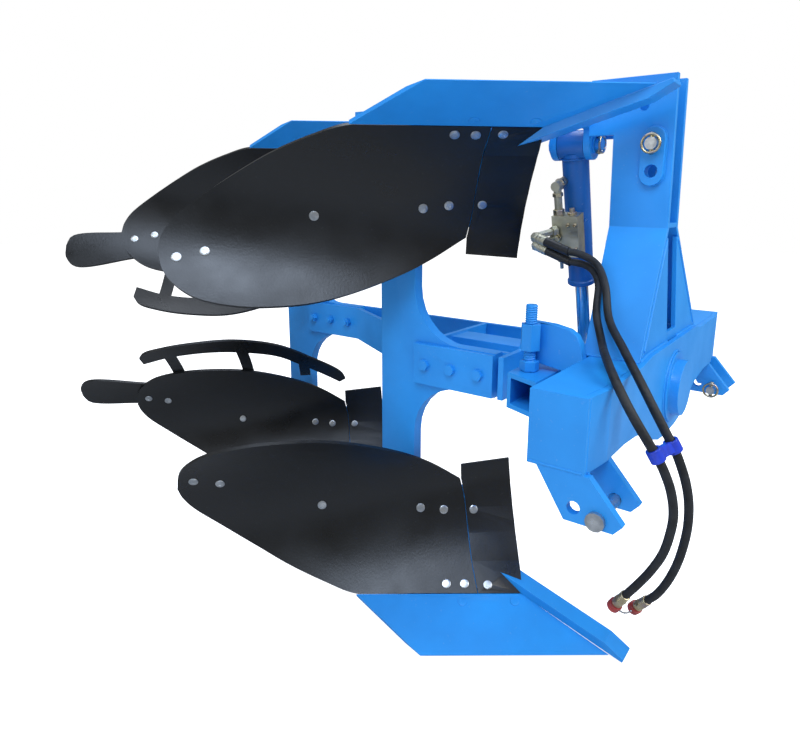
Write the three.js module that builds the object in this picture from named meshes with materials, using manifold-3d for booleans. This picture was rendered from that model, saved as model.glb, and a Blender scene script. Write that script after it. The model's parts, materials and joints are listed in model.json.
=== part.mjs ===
import * as THREE from 'three';
import { mergeVertices } from 'three/addons/utils/BufferGeometryUtils.js';
import Module from 'manifold-3d';

const wasm = await Module();
wasm.setup();

// Two-furrow reversible plough. Millimetres, +Z up, +X the way it travels, +Y its left side.
// Sizes and places are measured from the turnover axis, which runs along X through y 0 and z 0.
// The finished model then stands on its lower points, with its origin under its middle.

const fit = 0.3; // gap between pieces that fit into, round or along each other
const overrun = 20; // how far a cutting shape passes the faces that it cuts
const roundSides = 24;
const cylinderSides = 16;
const smallSides = 12;
const paint = { color: 0x2e8be6, roughness: 0.38, metalness: 0.1 };
const black = { color: 0x0d0e11, roughness: 0.25, metalness: 0.2 };
const zinc = { color: 0xb9bdc0, roughness: 0.35, metalness: 0.9 };
const yellowZinc = { color: 0xb9a77a, roughness: 0.35, metalness: 0.9 };
const rubber = { color: 0x17181a, roughness: 0.6, metalness: 0 };
const bluePlastic = { color: 0x1f3fc0, roughness: 0.45, metalness: 0 };

// Headstock: a box beam across the tractor, a front plate, clevises and a mast.
const beam = {
  back: -85, front: 11, bottom: -31, top: 96, halfLength: 480, wall: 10,
  bendAt: 412, bendBack: 9, frontPlate: 12, endPlate: 10,
  crown: 8, crownHalf: 240, crownRun: 60, dropDepth: 103, dropHalf: 95, flareHalf: 320, flareDepth: 15,
};
const frontFace = beam.front + beam.frontPlate;
const beamEnd = beam.halfLength + beam.endPlate;
const bearing = { outer: 66, inner: 52, bushInner: 45.4, rear: -110, bushInset: 2 };
const cap = { flangeRadius: 78, flange: 6, radius: 61, bore: 55, length: 26, wall: 5 };
const clevis = {
  plate: 15, innerFace: 402, pinX: 38, pinZ: -98.5, spareX: -0.5, spareZ: -88, hole: 11.4,
  rearTop: -68, rearFoot: -16, foot: -113, noseX: 66, cheekX: 80, cheekZ: -97, frontTop: 22,
};
const mast = {
  inner: 28, plate: 13, top: 640, bend: 340, footSpread: 184, footRear: -100, footFront: 10.7,
  rearBend: -130, frontBend: -7, rearTop: -137, frontTop: -13, armBottom: 528, armRear: -188.5,
  slotHalf: 35, web: 10, webTop: 320, sill: 28, shelf: 10, holeX: -75, holeZ: 582, hole: 10,
};
const mastOuter = mast.inner + mast.plate;
const footOuter = mastOuter + mast.footSpread;
const topLink = { x: -48, width: 48, plate: 12, bottom: 424, top: 540, upper: 506, lower: 453, hole: 13 };
const linkPin = { radius: 11, headRadius: 16, head: 8, tail: 24 };
const topPin = { radius: 12.5, overhang: 16, headRadius: 18, head: 8 };
const linchpin = { radius: 4.5, reach: 20, ringRadius: 18, wire: 2.2, offset: 7 };

// Turnover cylinder: it hangs from the mast's arm and turns the frame by the crank pin.
const cylinder = {
  x: -235, topZ: 515, crankRadius: 150, eyeRadius: 32, eyeWidth: 60, eyeBore: 14, barrelRadius: 30,
  boreRadius: 26, boreStart: 75, barrelEnd: 320, neck: 16,
  glandLip: 10, glandInsert: 24, glandRadius: 33, rodRadius: 16, pistonStart: 266, pistonLength: 28,
  rodEyeRadius: 30, rodEyeWidth: 56, rodBore: 13.4,
};
const crankPin = { radius: 13, head: 6, headRadius: 19, web: 14, webRear: -283, bossRadius: 32, root: 80 };
const lug = {
  gap: 63, plate: 15, radius: 33, halfTop: 76, farTop: 84, waist: 543, shoulder: 560, top: 612,
  sidePlate: 10,
  pinRadius: 13, pinHead: 8, pinHeadRadius: 20, pinNose: 18,
};
const valve = {
  xLow: -266, xHigh: -204, near: -80, far: -44, start: 140, length: 96, bracketX: -242, bracket: 40,
  portX: -255, portDown: 75, portReach: 74, portRadius: 11, fittingY: -62, fittingRadius: 9,
  nippleX: -256, nippleLength: 18,
};

// Stop screws on the headstock, and the arm of the turnover frame that rests under them.
const stop = {
  face: 265, plate: 20, screwX: -187, screwRadius: 12, screwTop: 195, footRadius: 19.5, footHeight: 21,
  nutRadius: 20.8, nutBottom: 104, nutTop: 157, plateBottom: 80, plateTop: 158, plateRear: -208,
  kneeX: -128, kneeZ: 68, throatX: -125,
};
const stopCrestShares = [[0, 0], [0.04, 0.42], [0.12, 0.71], [0.25, 0.87], [0.51, 0.97], [0.8, 1], [1, 1]];
const stopArm = {
  rear: -216, front: -140, bottom: -10, top: 62, wall: 10, rearReach: 319, frontReach: 351,
};

// Turnover frame: hub and shaft, closing plate, bars along the plough and the legs.
const hub = {
  radius: 65, shaft: 45, front: -110.6, rear: -297, thread: 25, threadRadius: 33, shaftFront: 40,
  nutRadius: 51, nutLength: 13,
};
const bar = { half: 50, plate: 14 };
const closing = { front: -297, plate: 14, right: -183, left: 161, disc: 100 };
const leg = {
  rear: -658, front: -553, right: -169, plate: 30, half: 450, armFront: -325, armHalf: 52,
  arcX: -420, arcZ: 185,
};
const rearBody = { back: 664, across: 286 }; // second body, behind and to the left of the first
const boltPitch = { first: -512, second: -438, third: -362, radius: 8, hole: 8.8, across: 13.5, head: 10,
  nut: 13 };
const diagonal = { bendFront: -551, bendRear: -985, rearRight: 103, rearEnd: -1206, skew: 4 };
const farBarLeft = 161;
const brace = { rear: -544, plate: 14 };
const centreTube = { half: 40, halfHeight: 45, wall: 8 };

// Plough bodies. along runs with the share's edge, across is square to it, and depth is measured
// from the turnover axis. A lift is a height over the ground. An upper body is built, and a lower
// one is its mirror image.
const shareAngle = THREE.MathUtils.degToRad(36);
const groundDepth = 612;
const share = {
  edgeLift: 8, edgeAcross: 100, seamLift: 72, seamAcross: -30, plate: 10, edgePlate: 2, bevel: 30,
  wingTop: -683, noseTop: -283.3, wingEdge: -528, noseEdge: -104,
};
const seamDepth = groundDepth - share.seamLift;
const edgeDepth = groundDepth - share.edgeLift;
const board = {
  thick: 8, seam: -390, length: 714, height: 380, steepShare: 1.08, curlRadius: 237.5,
  twistShare: 0.17, twistDepth: 275, twistFrom: -430, seamGap: 2,
};
const facet = { along: 204, deep: 54 };
const seamShares = [[0, 0], [0.017, 0.145], [0.039, 0.497], [0.053, 0.618]];
const rimShares = [
  [0.176, 0.761], [0.268, 0.842], [0.42, 0.94], [0.53, 0.985], [0.644, 1], [0.752, 0.992], [0.868, 0.947],
  [0.941, 0.871], [0.98, 0.792], [1, 0.674], [0.992, 0.605], [0.959, 0.513], [0.857, 0.366], [0.751, 0.245],
  [0.643, 0.142], [0.517, 0.055], [0.41, 0.003],
];
const shin = {
  nose: 37, innerLift: 345, outerLift: 355, topFront: -302, noseFront: -281, noseLift: 115, rimLift: 73,
};
const point = {
  width: 50, thick: 20, length: 370, slope: THREE.MathUtils.degToRad(15.5), tipX: 5, bevel: 50,
  bevelThick: 8,
  right: -141.5,
};
const frog = {
  right: -139, plate: 28, rear: -655, length: 415, lift: 12, height: 280, seat: 14, seatFront: -300,
  seatRear: -560, seatLift: 282, seatInset: 5, shareSeatFront: -268, shareSeatEdge: 0,
};
const frogShares = [[0, 0], [0, 1], [0.229, 1], [0.518, 0.714], [0.663, 0.571], [0.831, 0.357], [1, 0.196],
  [1, 0.143], [0.855, 0.036]];
const landside = { plate: 14, rear: -790, front: -400, height: 110, lift: 2 };
const stay = { padX: -610, padLift: 212, padWidth: 56, padHeight: 60, pad: 8, radius: 11, foot: 8,
  footHalf: 30 };
const ploughBolt = { headRadius: 10.5, proud: 1.2, shank: 6, nutRadius: 11, nut: 10 };
const boltPlaces = {
  boardFront: [[-529, 240], [-470, 233], [-465, 88], [-421, 88]],
  shinPair: [[-393, 230], [-364, 86]],
  middle: [-774, 259],
  tail: [[-1064, 349], [-1007, 337]],
};
const shareBolts = [[-428, -12], [-302, -12]];
const tailStrip = { thick: 8, front: -985, length: 273, lift: 422, height: 100 };
const tailShares = [[0, 0.35], [0.33, 0.18], [0.842, 0], [0.97, 0.25], [1, 0.57], [0.963, 0.84],
  [0.432, 0.96],
  [0.055, 1]];
const trashBar = {
  thick: 8, rearAlong: -1030, length: 608, height: 190, lift: 562, postWidth: 34, postLift: 407,
};
const trashOuterShares = [[0, 0.29], [0.035, 0.19], [0.13, 0.1], [0.271, 0.026], [0.472, 0], [0.666, 0.147],
  [0.816, 0.437], [0.98, 0.79], [1, 0.92]];
const trashInnerShares = [[0.965, 0.98], [0.763, 0.595], [0.65, 0.389], [0.497, 0.274], [0.344, 0.232],
  [0.15, 0.289], [0, 0.416]];
const postShares = [[0.14, 0.2], [0.485, 0.1], [0.78, 0.45]];

// Hoses, their clamp and their couplers, as they hang from the valve block over the mast and beam.
const hose = { radius: 7.75, sides: 8, steps: 28 };
const pressureRoute = [
  [-191.2, -104.4, 285.7], [-178, -105.3, 284.5], [-153.4, -109.4, 278.9], [-120.3, -123.8, 264],
  [-89.6, -155.6, 228.5], [-62, -200, 170.3], [-5.3, -275.5, 129.9], [46.8, -343.3, 95.9],
  [78.4, -361.5, 57.6], [102.1, -364.9, 22], [113.8, -364.8, 3.9], [124.6, -360.1, -21],
  [136, -352, -57], [142, -340, -97], [142, -325, -145], [136, -310, -193], [125.5, -297, -243],
  [109, -285, -292], [91, -275, -329], [75, -268, -351],
];
const returnRoute = [
  [-191.2, -93.5, 263.5], [-175.6, -94.9, 262.6], [-153.8, -100.7, 259], [-131.3, -113.7, 250],
  [-108.7, -140.9, 228.2], [-92.2, -187.1, 176], [-58.3, -240.3, 128.4], [-18.9, -327.5, 122.7],
  [27.9, -408, 104.2], [60, -430.6, 69.7], [89.5, -427, 25.3], [102, -418, 2], [114, -410, -24],
  [125, -400, -59], [130, -388, -103], [125, -375, -146.5], [114, -362, -192.5], [95, -350, -237],
  [73, -338, -278], [50, -328, -316],
];
const hoseClamp = { width: 22, skin: 4, play: 2.8 };
const coupler = { ferrule: 9.5, ferruleLength: 16, body: 11, bodyLength: 20, cap: 12.5, capLength: 14 };
const elbow = { ferrule: 10.5, ferruleLength: 30, nut: 12, arm: 8, sleeve: 9.5, mouthX: -192.2 };
const ferruleEnds = [[-254, -85, 303], [-252, -80, 283]];
const cordNames = ['pressure_hose', 'return_hose', 'hose_clamp', 'pressure_coupler', 'return_coupler'];

const group = new THREE.Group();
const leaned = new THREE.Group();

// Shapes

function shapeOf(points) {
  return new THREE.Shape(points.map(([u, v]) => new THREE.Vector2(u, v)));
}

function polygon(u, v, radius, sides, turn = 0) {
  return Array.from({ length: sides }, (_, i) => {
    const angle = turn + (i * 2 * Math.PI) / sides;
    return [u + radius * Math.cos(angle), v + radius * Math.sin(angle)];
  });
}

function arc(u, v, radius, from, to, steps) {
  return Array.from({ length: steps + 1 }, (_, i) => {
    const angle = THREE.MathUtils.degToRad(from + ((to - from) * i) / steps);
    return [u + radius * Math.cos(angle), v + radius * Math.sin(angle)];
  });
}

function curveThrough(points, steps) {
  const line = new THREE.SplineCurve(points.map(([u, v]) => new THREE.Vector2(u, v)));
  return line.getPoints(steps).map((p) => [p.x, p.y]);
}

// A flat piece square to one axis: its outline is in (y, z) for x, (x, z) for y and (x, y) for z.
function slab(axis, low, high, outline, holes = []) {
  const shape = shapeOf(outline);
  for (const hole of holes) shape.holes.push(new THREE.Path(hole.map(([u, v]) => new THREE.Vector2(u, v))));
  const geometry = new THREE.ExtrudeGeometry(shape,
    { depth: high - low, bevelEnabled: false, curveSegments: 1 });
  const turn = new THREE.Matrix4();
  if (axis === 'x') turn.set(0, 0, 1, low, 1, 0, 0, 0, 0, 1, 0, 0, 0, 0, 0, 1);
  if (axis === 'y') turn.set(1, 0, 0, 0, 0, 0, -1, high, 0, 1, 0, 0, 0, 0, 0, 1);
  if (axis === 'z') turn.makeTranslation(0, 0, low);
  return geometry.applyMatrix4(turn);
}

function block(x0, x1, y0, y1, z0, z1) {
  return new THREE.BoxGeometry(x1 - x0, y1 - y0, z1 - z0)
    .translate((x0 + x1) / 2, (y0 + y1) / 2, (z0 + z1) / 2);
}

function rod(axis, low, high, u, v, radius, sides = roundSides, turn = 0) {
  return slab(axis, low, high, polygon(u, v, radius, sides, turn));
}

function ring(axis, low, high, u, v, radius, bore, sides = roundSides) {
  return slab(axis, low, high, polygon(u, v, radius, sides), [polygon(u, v, bore, sides)]);
}

// A straight round bar between two points.
function barBetween(from, to, radius, sides = smallSides) {
  const line = new THREE.Vector3().subVectors(to, from);
  const turn = new THREE.Quaternion().setFromUnitVectors(new THREE.Vector3(0, 1, 0),
    line.clone().normalize());
  const middle = new THREE.Vector3().addVectors(from, to).multiplyScalar(0.5);
  return new THREE.CylinderGeometry(radius, radius, line.length(), sides)
    .applyQuaternion(turn).translate(middle.x, middle.y, middle.z);
}

// Turns a closed shape's faces outwards: its signed volume is made positive.
function facingOut(geometry) {
  const bare = welded(geometry);
  const at = bare.attributes.position;
  const index = bare.index.array;
  const corner = [0, 1, 2].map(() => new THREE.Vector3());
  let volume = 0;
  for (let i = 0; i < index.length; i += 3) {
    corner.forEach((c, k) => c.fromBufferAttribute(at, index[i + k]));
    volume += corner[0].dot(corner[1].cross(corner[2]));
  }
  if (volume < 0) {
    for (let i = 0; i < index.length; i += 3) [index[i], index[i + 1]] = [index[i + 1], index[i]];
  }
  return bare;
}

function welded(geometry) {
  const bare = geometry.clone();
  bare.deleteAttribute('normal');
  bare.deleteAttribute('uv');
  return mergeVertices(bare);
}

// A closed shape between two or more outlines with the same number of points.
function loft(outlines) {
  const count = outlines[0].length;
  const points = outlines.flat();
  const index = [];
  for (let s = 0; s + 1 < outlines.length; s += 1) {
    for (let i = 0; i < count; i += 1) {
      const j = (i + 1) % count;
      const [a, b, c, d] = [s * count + i, s * count + j, (s + 1) * count + j, (s + 1) * count + i];
      index.push(a, b, c, a, c, d);
    }
  }
  const last = (outlines.length - 1) * count;
  for (let i = 1; i + 1 < count; i += 1) {
    index.push(0, i + 1, i);
    index.push(last, last + i, last + i + 1);
  }
  const geometry = new THREE.BufferGeometry();
  geometry.setAttribute('position', new THREE.Float32BufferAttribute(points.flatMap((p) => [...p]), 3));
  geometry.setIndex(index);
  return facingOut(geometry);
}

function solidOf(geometry) {
  const bare = welded(geometry);
  return new wasm.Manifold(new wasm.Mesh({
    numProp: 3,
    vertProperties: Float32Array.from(bare.attributes.position.array),
    triVerts: Uint32Array.from(bare.index.array),
  }));
}

function geometryOf(solid) {
  const mesh = solid.getMesh();
  const geometry = new THREE.BufferGeometry();
  geometry.setAttribute('position', new THREE.BufferAttribute(Float32Array.from(mesh.vertProperties), 3));
  geometry.setIndex(Array.from(mesh.triVerts));
  return geometry;
}

function cut(base, ...tools) {
  return geometryOf(tools.reduce((left, tool) => left.subtract(solidOf(tool)), solidOf(base)));
}

function join(...pieces) {
  return geometryOf(pieces.slice(1).reduce((whole, piece) => whole.add(solidOf(piece)),
    solidOf(pieces[0])));
}

function common(a, b) {
  return geometryOf(solidOf(a).intersect(solidOf(b)));
}

// Puts separate solids into one geometry.
function together(pieces) {
  const points = [];
  const index = [];
  for (const piece of pieces.map(welded)) {
    const start = points.length / 3;
    points.push(...piece.attributes.position.array);
    for (const i of piece.index.array) index.push(start + i);
  }
  const geometry = new THREE.BufferGeometry();
  geometry.setAttribute('position', new THREE.Float32BufferAttribute(points, 3));
  geometry.setIndex(index);
  return geometry;
}

function mirrored(geometry, axis) {
  const scale = { x: [-1, 1, 1], y: [1, -1, 1], z: [1, 1, -1] }[axis];
  return facingOut(geometry.clone().scale(...scale));
}

function add(name, geometry, finish, parent = group) {
  const flat = geometry.index ? geometry.toNonIndexed() : geometry;
  flat.computeVertexNormals();
  const mesh = new THREE.Mesh(flat, new THREE.MeshStandardMaterial(finish));
  mesh.name = name;
  parent.add(mesh);
  return mesh;
}

// Headstock

function buildBeam() {
  const plan = (front, end) => [
    [beam.back, -end], [front - beam.bendBack, -end], [front, -beam.bendAt], [front, beam.bendAt],
    [front - beam.bendBack, end], [beam.back, end],
  ];
  const cavity = block(beam.back + beam.wall, beam.front - beam.bendBack - beam.wall,
    -beamEnd, beamEnd, beam.bottom + beam.wall, beam.top - beam.wall);
  const housingHole = rod('x', beam.back - overrun, frontFace + overrun, 0, 0, bearing.outer + fit);
  const tube = slab('z', beam.bottom, beam.top, plan(beam.front, beam.halfLength));
  const ends = [-beamEnd, beam.halfLength - fit].map((y) => block(
    beam.back, frontFace - beam.bendBack, y, y + beam.endPlate + fit, beam.bottom, beam.top,
  ));
  const clevises = together([clevisPlate(-beamEnd), clevisPlate(-clevis.innerFace)]);
  add('cross_beam', join(cut(tube, cavity, housingHole), ...ends, clevises, mirrored(clevises, 'y')),
    paint);

  const frontPlan = plan(frontFace, beam.halfLength);
  const backPlan = plan(beam.front, beam.halfLength);
  const strip = slab('z', -beam.dropDepth - overrun, beam.top + beam.crown + overrun, [
    backPlan[1], frontPlan[1], frontPlan[2], frontPlan[3], frontPlan[4], backPlan[4], backPlan[3],
    backPlan[2],
  ]);
  const lower = curveThrough([
    [-beam.flareHalf, beam.bottom], [-(beam.flareHalf + beam.dropHalf) / 2, beam.bottom - beam.flareDepth],
    [-beam.dropHalf, -beam.dropDepth + beam.flareDepth / 2], [0, -beam.dropDepth],
  ], 10);
  const left = lower.slice(0, -1).reverse().map(([y, z]) => [-y, z]);
  const plateEnd = beam.halfLength - 2 * fit;
  const outline = [
    [-plateEnd, beam.bottom], ...lower, ...left, [plateEnd, beam.bottom], [plateEnd, beam.top],
    [beam.crownHalf, beam.top], [beam.crownHalf - beam.crownRun, beam.top + beam.crown],
    [-beam.crownHalf + beam.crownRun, beam.top + beam.crown], [-beam.crownHalf, beam.top],
    [-plateEnd, beam.top],
  ];
  const face = slab('x', beam.back, frontFace + overrun, outline);
  add('beam_front_plate', cut(common(strip, face), housingHole), paint);
}

function buildBearing() {
  add('bearing_housing', ring('x', bearing.rear, frontFace, 0, 0, bearing.outer, bearing.inner), paint);
  add('bearing_bush', ring('x', bearing.rear + bearing.bushInset, frontFace - bearing.bushInset, 0, 0,
    bearing.inner - fit, bearing.bushInner), yellowZinc);
  const flange = ring('x', frontFace, frontFace + cap.flange, 0, 0, cap.flangeRadius, cap.bore,
    cylinderSides);
  const cup = cut(
    rod('x', frontFace, frontFace + cap.length, 0, 0, cap.radius, cylinderSides),
    rod('x', frontFace - overrun, frontFace + cap.length - cap.wall, 0, 0, cap.bore, cylinderSides),
  );
  add('bearing_cap', join(flange, cup), paint);
}

function clevisPlate(yLow) {
  const outline = [
    [clevis.rearTop, beam.bottom], [clevis.rearFoot, clevis.foot], [clevis.noseX, clevis.foot],
    [clevis.cheekX, clevis.cheekZ], [clevis.frontTop, beam.bottom],
  ];
  return slab('y', yLow, yLow + clevis.plate, outline, [
    polygon(clevis.pinX, clevis.pinZ, clevis.hole, smallSides),
    polygon(clevis.spareX, clevis.spareZ, clevis.hole, smallSides),
  ]);
}

// A linchpin for a pin that runs along Y: a short cross pin, and a spring ring on its +Y side.
function linchpinAt() {
  const cross = rod('z', -linchpin.reach, linchpin.reach, 0, 0, linchpin.radius, 6);
  const loop = facingOut(new THREE.TorusGeometry(linchpin.ringRadius, linchpin.wire, 4, 12)
    .rotateX(Math.PI / 2).translate(0, linchpin.offset, 0));
  const hook = barBetween(
    new THREE.Vector3(0, 0, linchpin.ringRadius),
    new THREE.Vector3(0, linchpin.offset, linchpin.ringRadius), linchpin.wire, 4,
  );
  return join(cross, loop, hook);
}

function buildLowerPins() {
  const shankEnd = -clevis.innerFace + clevis.plate + linkPin.tail;
  const pin = join(
    rod('y', -beamEnd - linkPin.head / 2, shankEnd, clevis.pinX, clevis.pinZ, linkPin.radius, smallSides),
    rod('y', -beamEnd - linkPin.head, -beamEnd, clevis.pinX, clevis.pinZ, linkPin.headRadius, smallSides),
    linchpinAt().translate(clevis.pinX, shankEnd - linkPin.tail / 2, clevis.pinZ),
  );
  add('lower_link_pin_right', pin, zinc);
  add('lower_link_pin_left', mirrored(pin, 'y'), zinc);
}

function mastPlate() {
  const section = (z, rear, front, outer) => [
    [rear, -outer, z], [front, -outer, z], [front, -outer + mast.plate, z], [rear, -outer + mast.plate, z],
  ];
  const body = loft([
    section(beam.top, mast.footRear, mast.footFront, footOuter),
    section(mast.bend, mast.rearBend, mast.frontBend, mastOuter),
    section(mast.top, mast.rearTop, mast.frontTop, mastOuter),
  ]);
  const arm = block(mast.armRear, mast.frontTop - overrun, -mastOuter, -mast.inner, mast.armBottom,
    mast.top);
  const holes = [[topLink.x, topLink.upper, topLink.hole], [topLink.x, topLink.lower, topLink.hole],
    [mast.holeX, mast.holeZ, mast.hole]]
    .map(([x, z, radius]) => rod('y', -mastOuter - topLink.plate - overrun, 0, x, z, radius, smallSides));
  return cut(join(body, arm, topLinkLug()), ...holes);
}

function buildMast() {
  add('mast_plate_right', mastPlate(), paint);
  add('mast_plate_left', mirrored(mastPlate(), 'y'), paint);

  const rise = mast.bend - beam.top;
  const slope = mast.footSpread / rise;
  const lean = (mast.frontBend - mast.footFront) / rise;
  const webFront = (z) => mast.footFront + (z - beam.top) * lean;
  const web = loft([beam.top, mast.webTop].map((z) => {
    const outer = mast.inner + (mast.bend - z) * slope - fit;
    return [[webFront(z) - mast.web, -outer, z], [webFront(z), -outer, z],
      [webFront(z), -mast.slotHalf, z], [webFront(z) - mast.web, -mast.slotHalf, z]];
  }));
  const sill = block(webFront(beam.top) - mast.web, webFront(beam.top + mast.sill), -mast.slotHalf - fit,
    mast.slotHalf + fit, beam.top, beam.top + mast.sill);
  add('mast_front_web', join(web, mirrored(web, 'y'), sill), paint);
  add('mast_shelf', block(mast.rearBend + mast.web, mast.frontBend - fit, -mast.inner, mast.inner,
    mast.bend, mast.bend + mast.shelf), paint);
}

function topLinkLug() {
  const radius = topLink.width / 2;
  const outline = [
    ...arc(topLink.x, topLink.top - radius, radius, 0, 180, 8),
    ...arc(topLink.x, topLink.bottom + radius, radius, 180, 360, 8),
  ];
  return slab('y', -mastOuter - topLink.plate, -mastOuter + fit, outline);
}

function buildTopLinkPin() {
  const outer = mastOuter + topLink.plate;
  const pin = join(
    rod('y', -outer - topPin.head / 2, outer + topPin.overhang, topLink.x, topLink.upper, topPin.radius,
      smallSides),
    rod('y', -outer - topPin.head, -outer, topLink.x, topLink.upper, topPin.headRadius, smallSides),
    linchpinAt().translate(topLink.x, outer + topPin.overhang / 2, topLink.upper),
  );
  add('top_link_pin', mirrored(pin, 'y'), zinc);
}

function buildCylinderArm() {
  const front = cylinder.x + lug.gap / 2;
  const rear = cylinder.x - lug.gap / 2;
  const round = arc(0, cylinder.topZ, lug.radius, 180, 360, 10);
  const farSide = [[lug.radius, lug.waist], [lug.farTop, lug.shoulder], [lug.farTop, lug.top]];
  const nearSide = [[-lug.halfTop, lug.top], [-lug.halfTop, lug.shoulder], [-lug.radius, lug.waist]];
  const stub = (x0, x1) => rod('x', x0, x1, 0, cylinder.topZ, lug.pinRadius, smallSides);
  const head = (x0, x1) => rod('x', x0, x1, 0, cylinder.topZ, lug.pinHeadRadius, smallSides);
  const frontFaceX = front + lug.plate;
  const rearFaceX = rear - lug.plate;
  const noseX = frontFaceX + (lug.pinNose + lug.pinHead / 2) / 2;
  add('cylinder_bracket', join(
    slab('x', front, front + lug.plate, [...round, ...farSide, ...nearSide]),
    slab('x', rear - lug.plate, rear, [...round, ...farSide, [-lug.radius, lug.top]]),
    block(rear - lug.plate / 2, front + lug.plate / 2, lug.farTop - lug.sidePlate, lug.farTop,
      lug.shoulder, lug.top),
    stub(front, frontFaceX + lug.pinNose), head(frontFaceX - fit, frontFaceX + lug.pinHead / 2),
    head(rearFaceX - lug.pinHead, rearFaceX + fit),
    linchpinAt().rotateZ(-Math.PI / 2).translate(noseX, 0, cylinder.topZ),
  ), paint);
}

function buildStops() {
  const rest = { right: stopArm.top, left: -stopArm.bottom };
  for (const [word, side] of [['right', -1], ['left', 1]]) {
    const drop = rest.right - rest[word];
    const high = stop.plateTop - drop;
    const crest = stopCrestShares.map(([s, t]) => [
      beam.back + s * (stop.plateRear - beam.back), beam.top + t * (high - beam.top),
    ]);
    const outline = [
      [beam.back, beam.bottom], ...crest, [stop.plateRear, stop.plateBottom - drop],
      [stop.kneeX, stop.kneeZ - drop], [stop.throatX, beam.bottom],
    ];
    const axisY = -stop.face - stop.nutRadius * Math.cos(Math.PI / 6) + fit;
    const plate = slab('y', -stop.face, -stop.face + stop.plate, outline);
    const nut = slab('z', stop.nutBottom - drop, stop.nutTop - drop,
      polygon(stop.screwX, axisY, stop.nutRadius, 6),
      [polygon(stop.screwX, axisY, stop.screwRadius + fit, smallSides)]);
    const base = rest[word] + fit;
    const screw = join(
      rod('z', base, stop.screwTop - drop, stop.screwX, axisY, stop.screwRadius, smallSides),
      rod('z', base, base + stop.footHeight, stop.screwX, axisY, stop.footRadius, 6),
    );
    const bracket = join(plate, nut);
    add(`stop_bracket_${word}`, side < 0 ? bracket : mirrored(bracket, 'y'), paint);
    add(`stop_screw_${word}`, side < 0 ? screw : mirrored(screw, 'y'), paint);
  }
}

// Turnover frame

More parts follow.
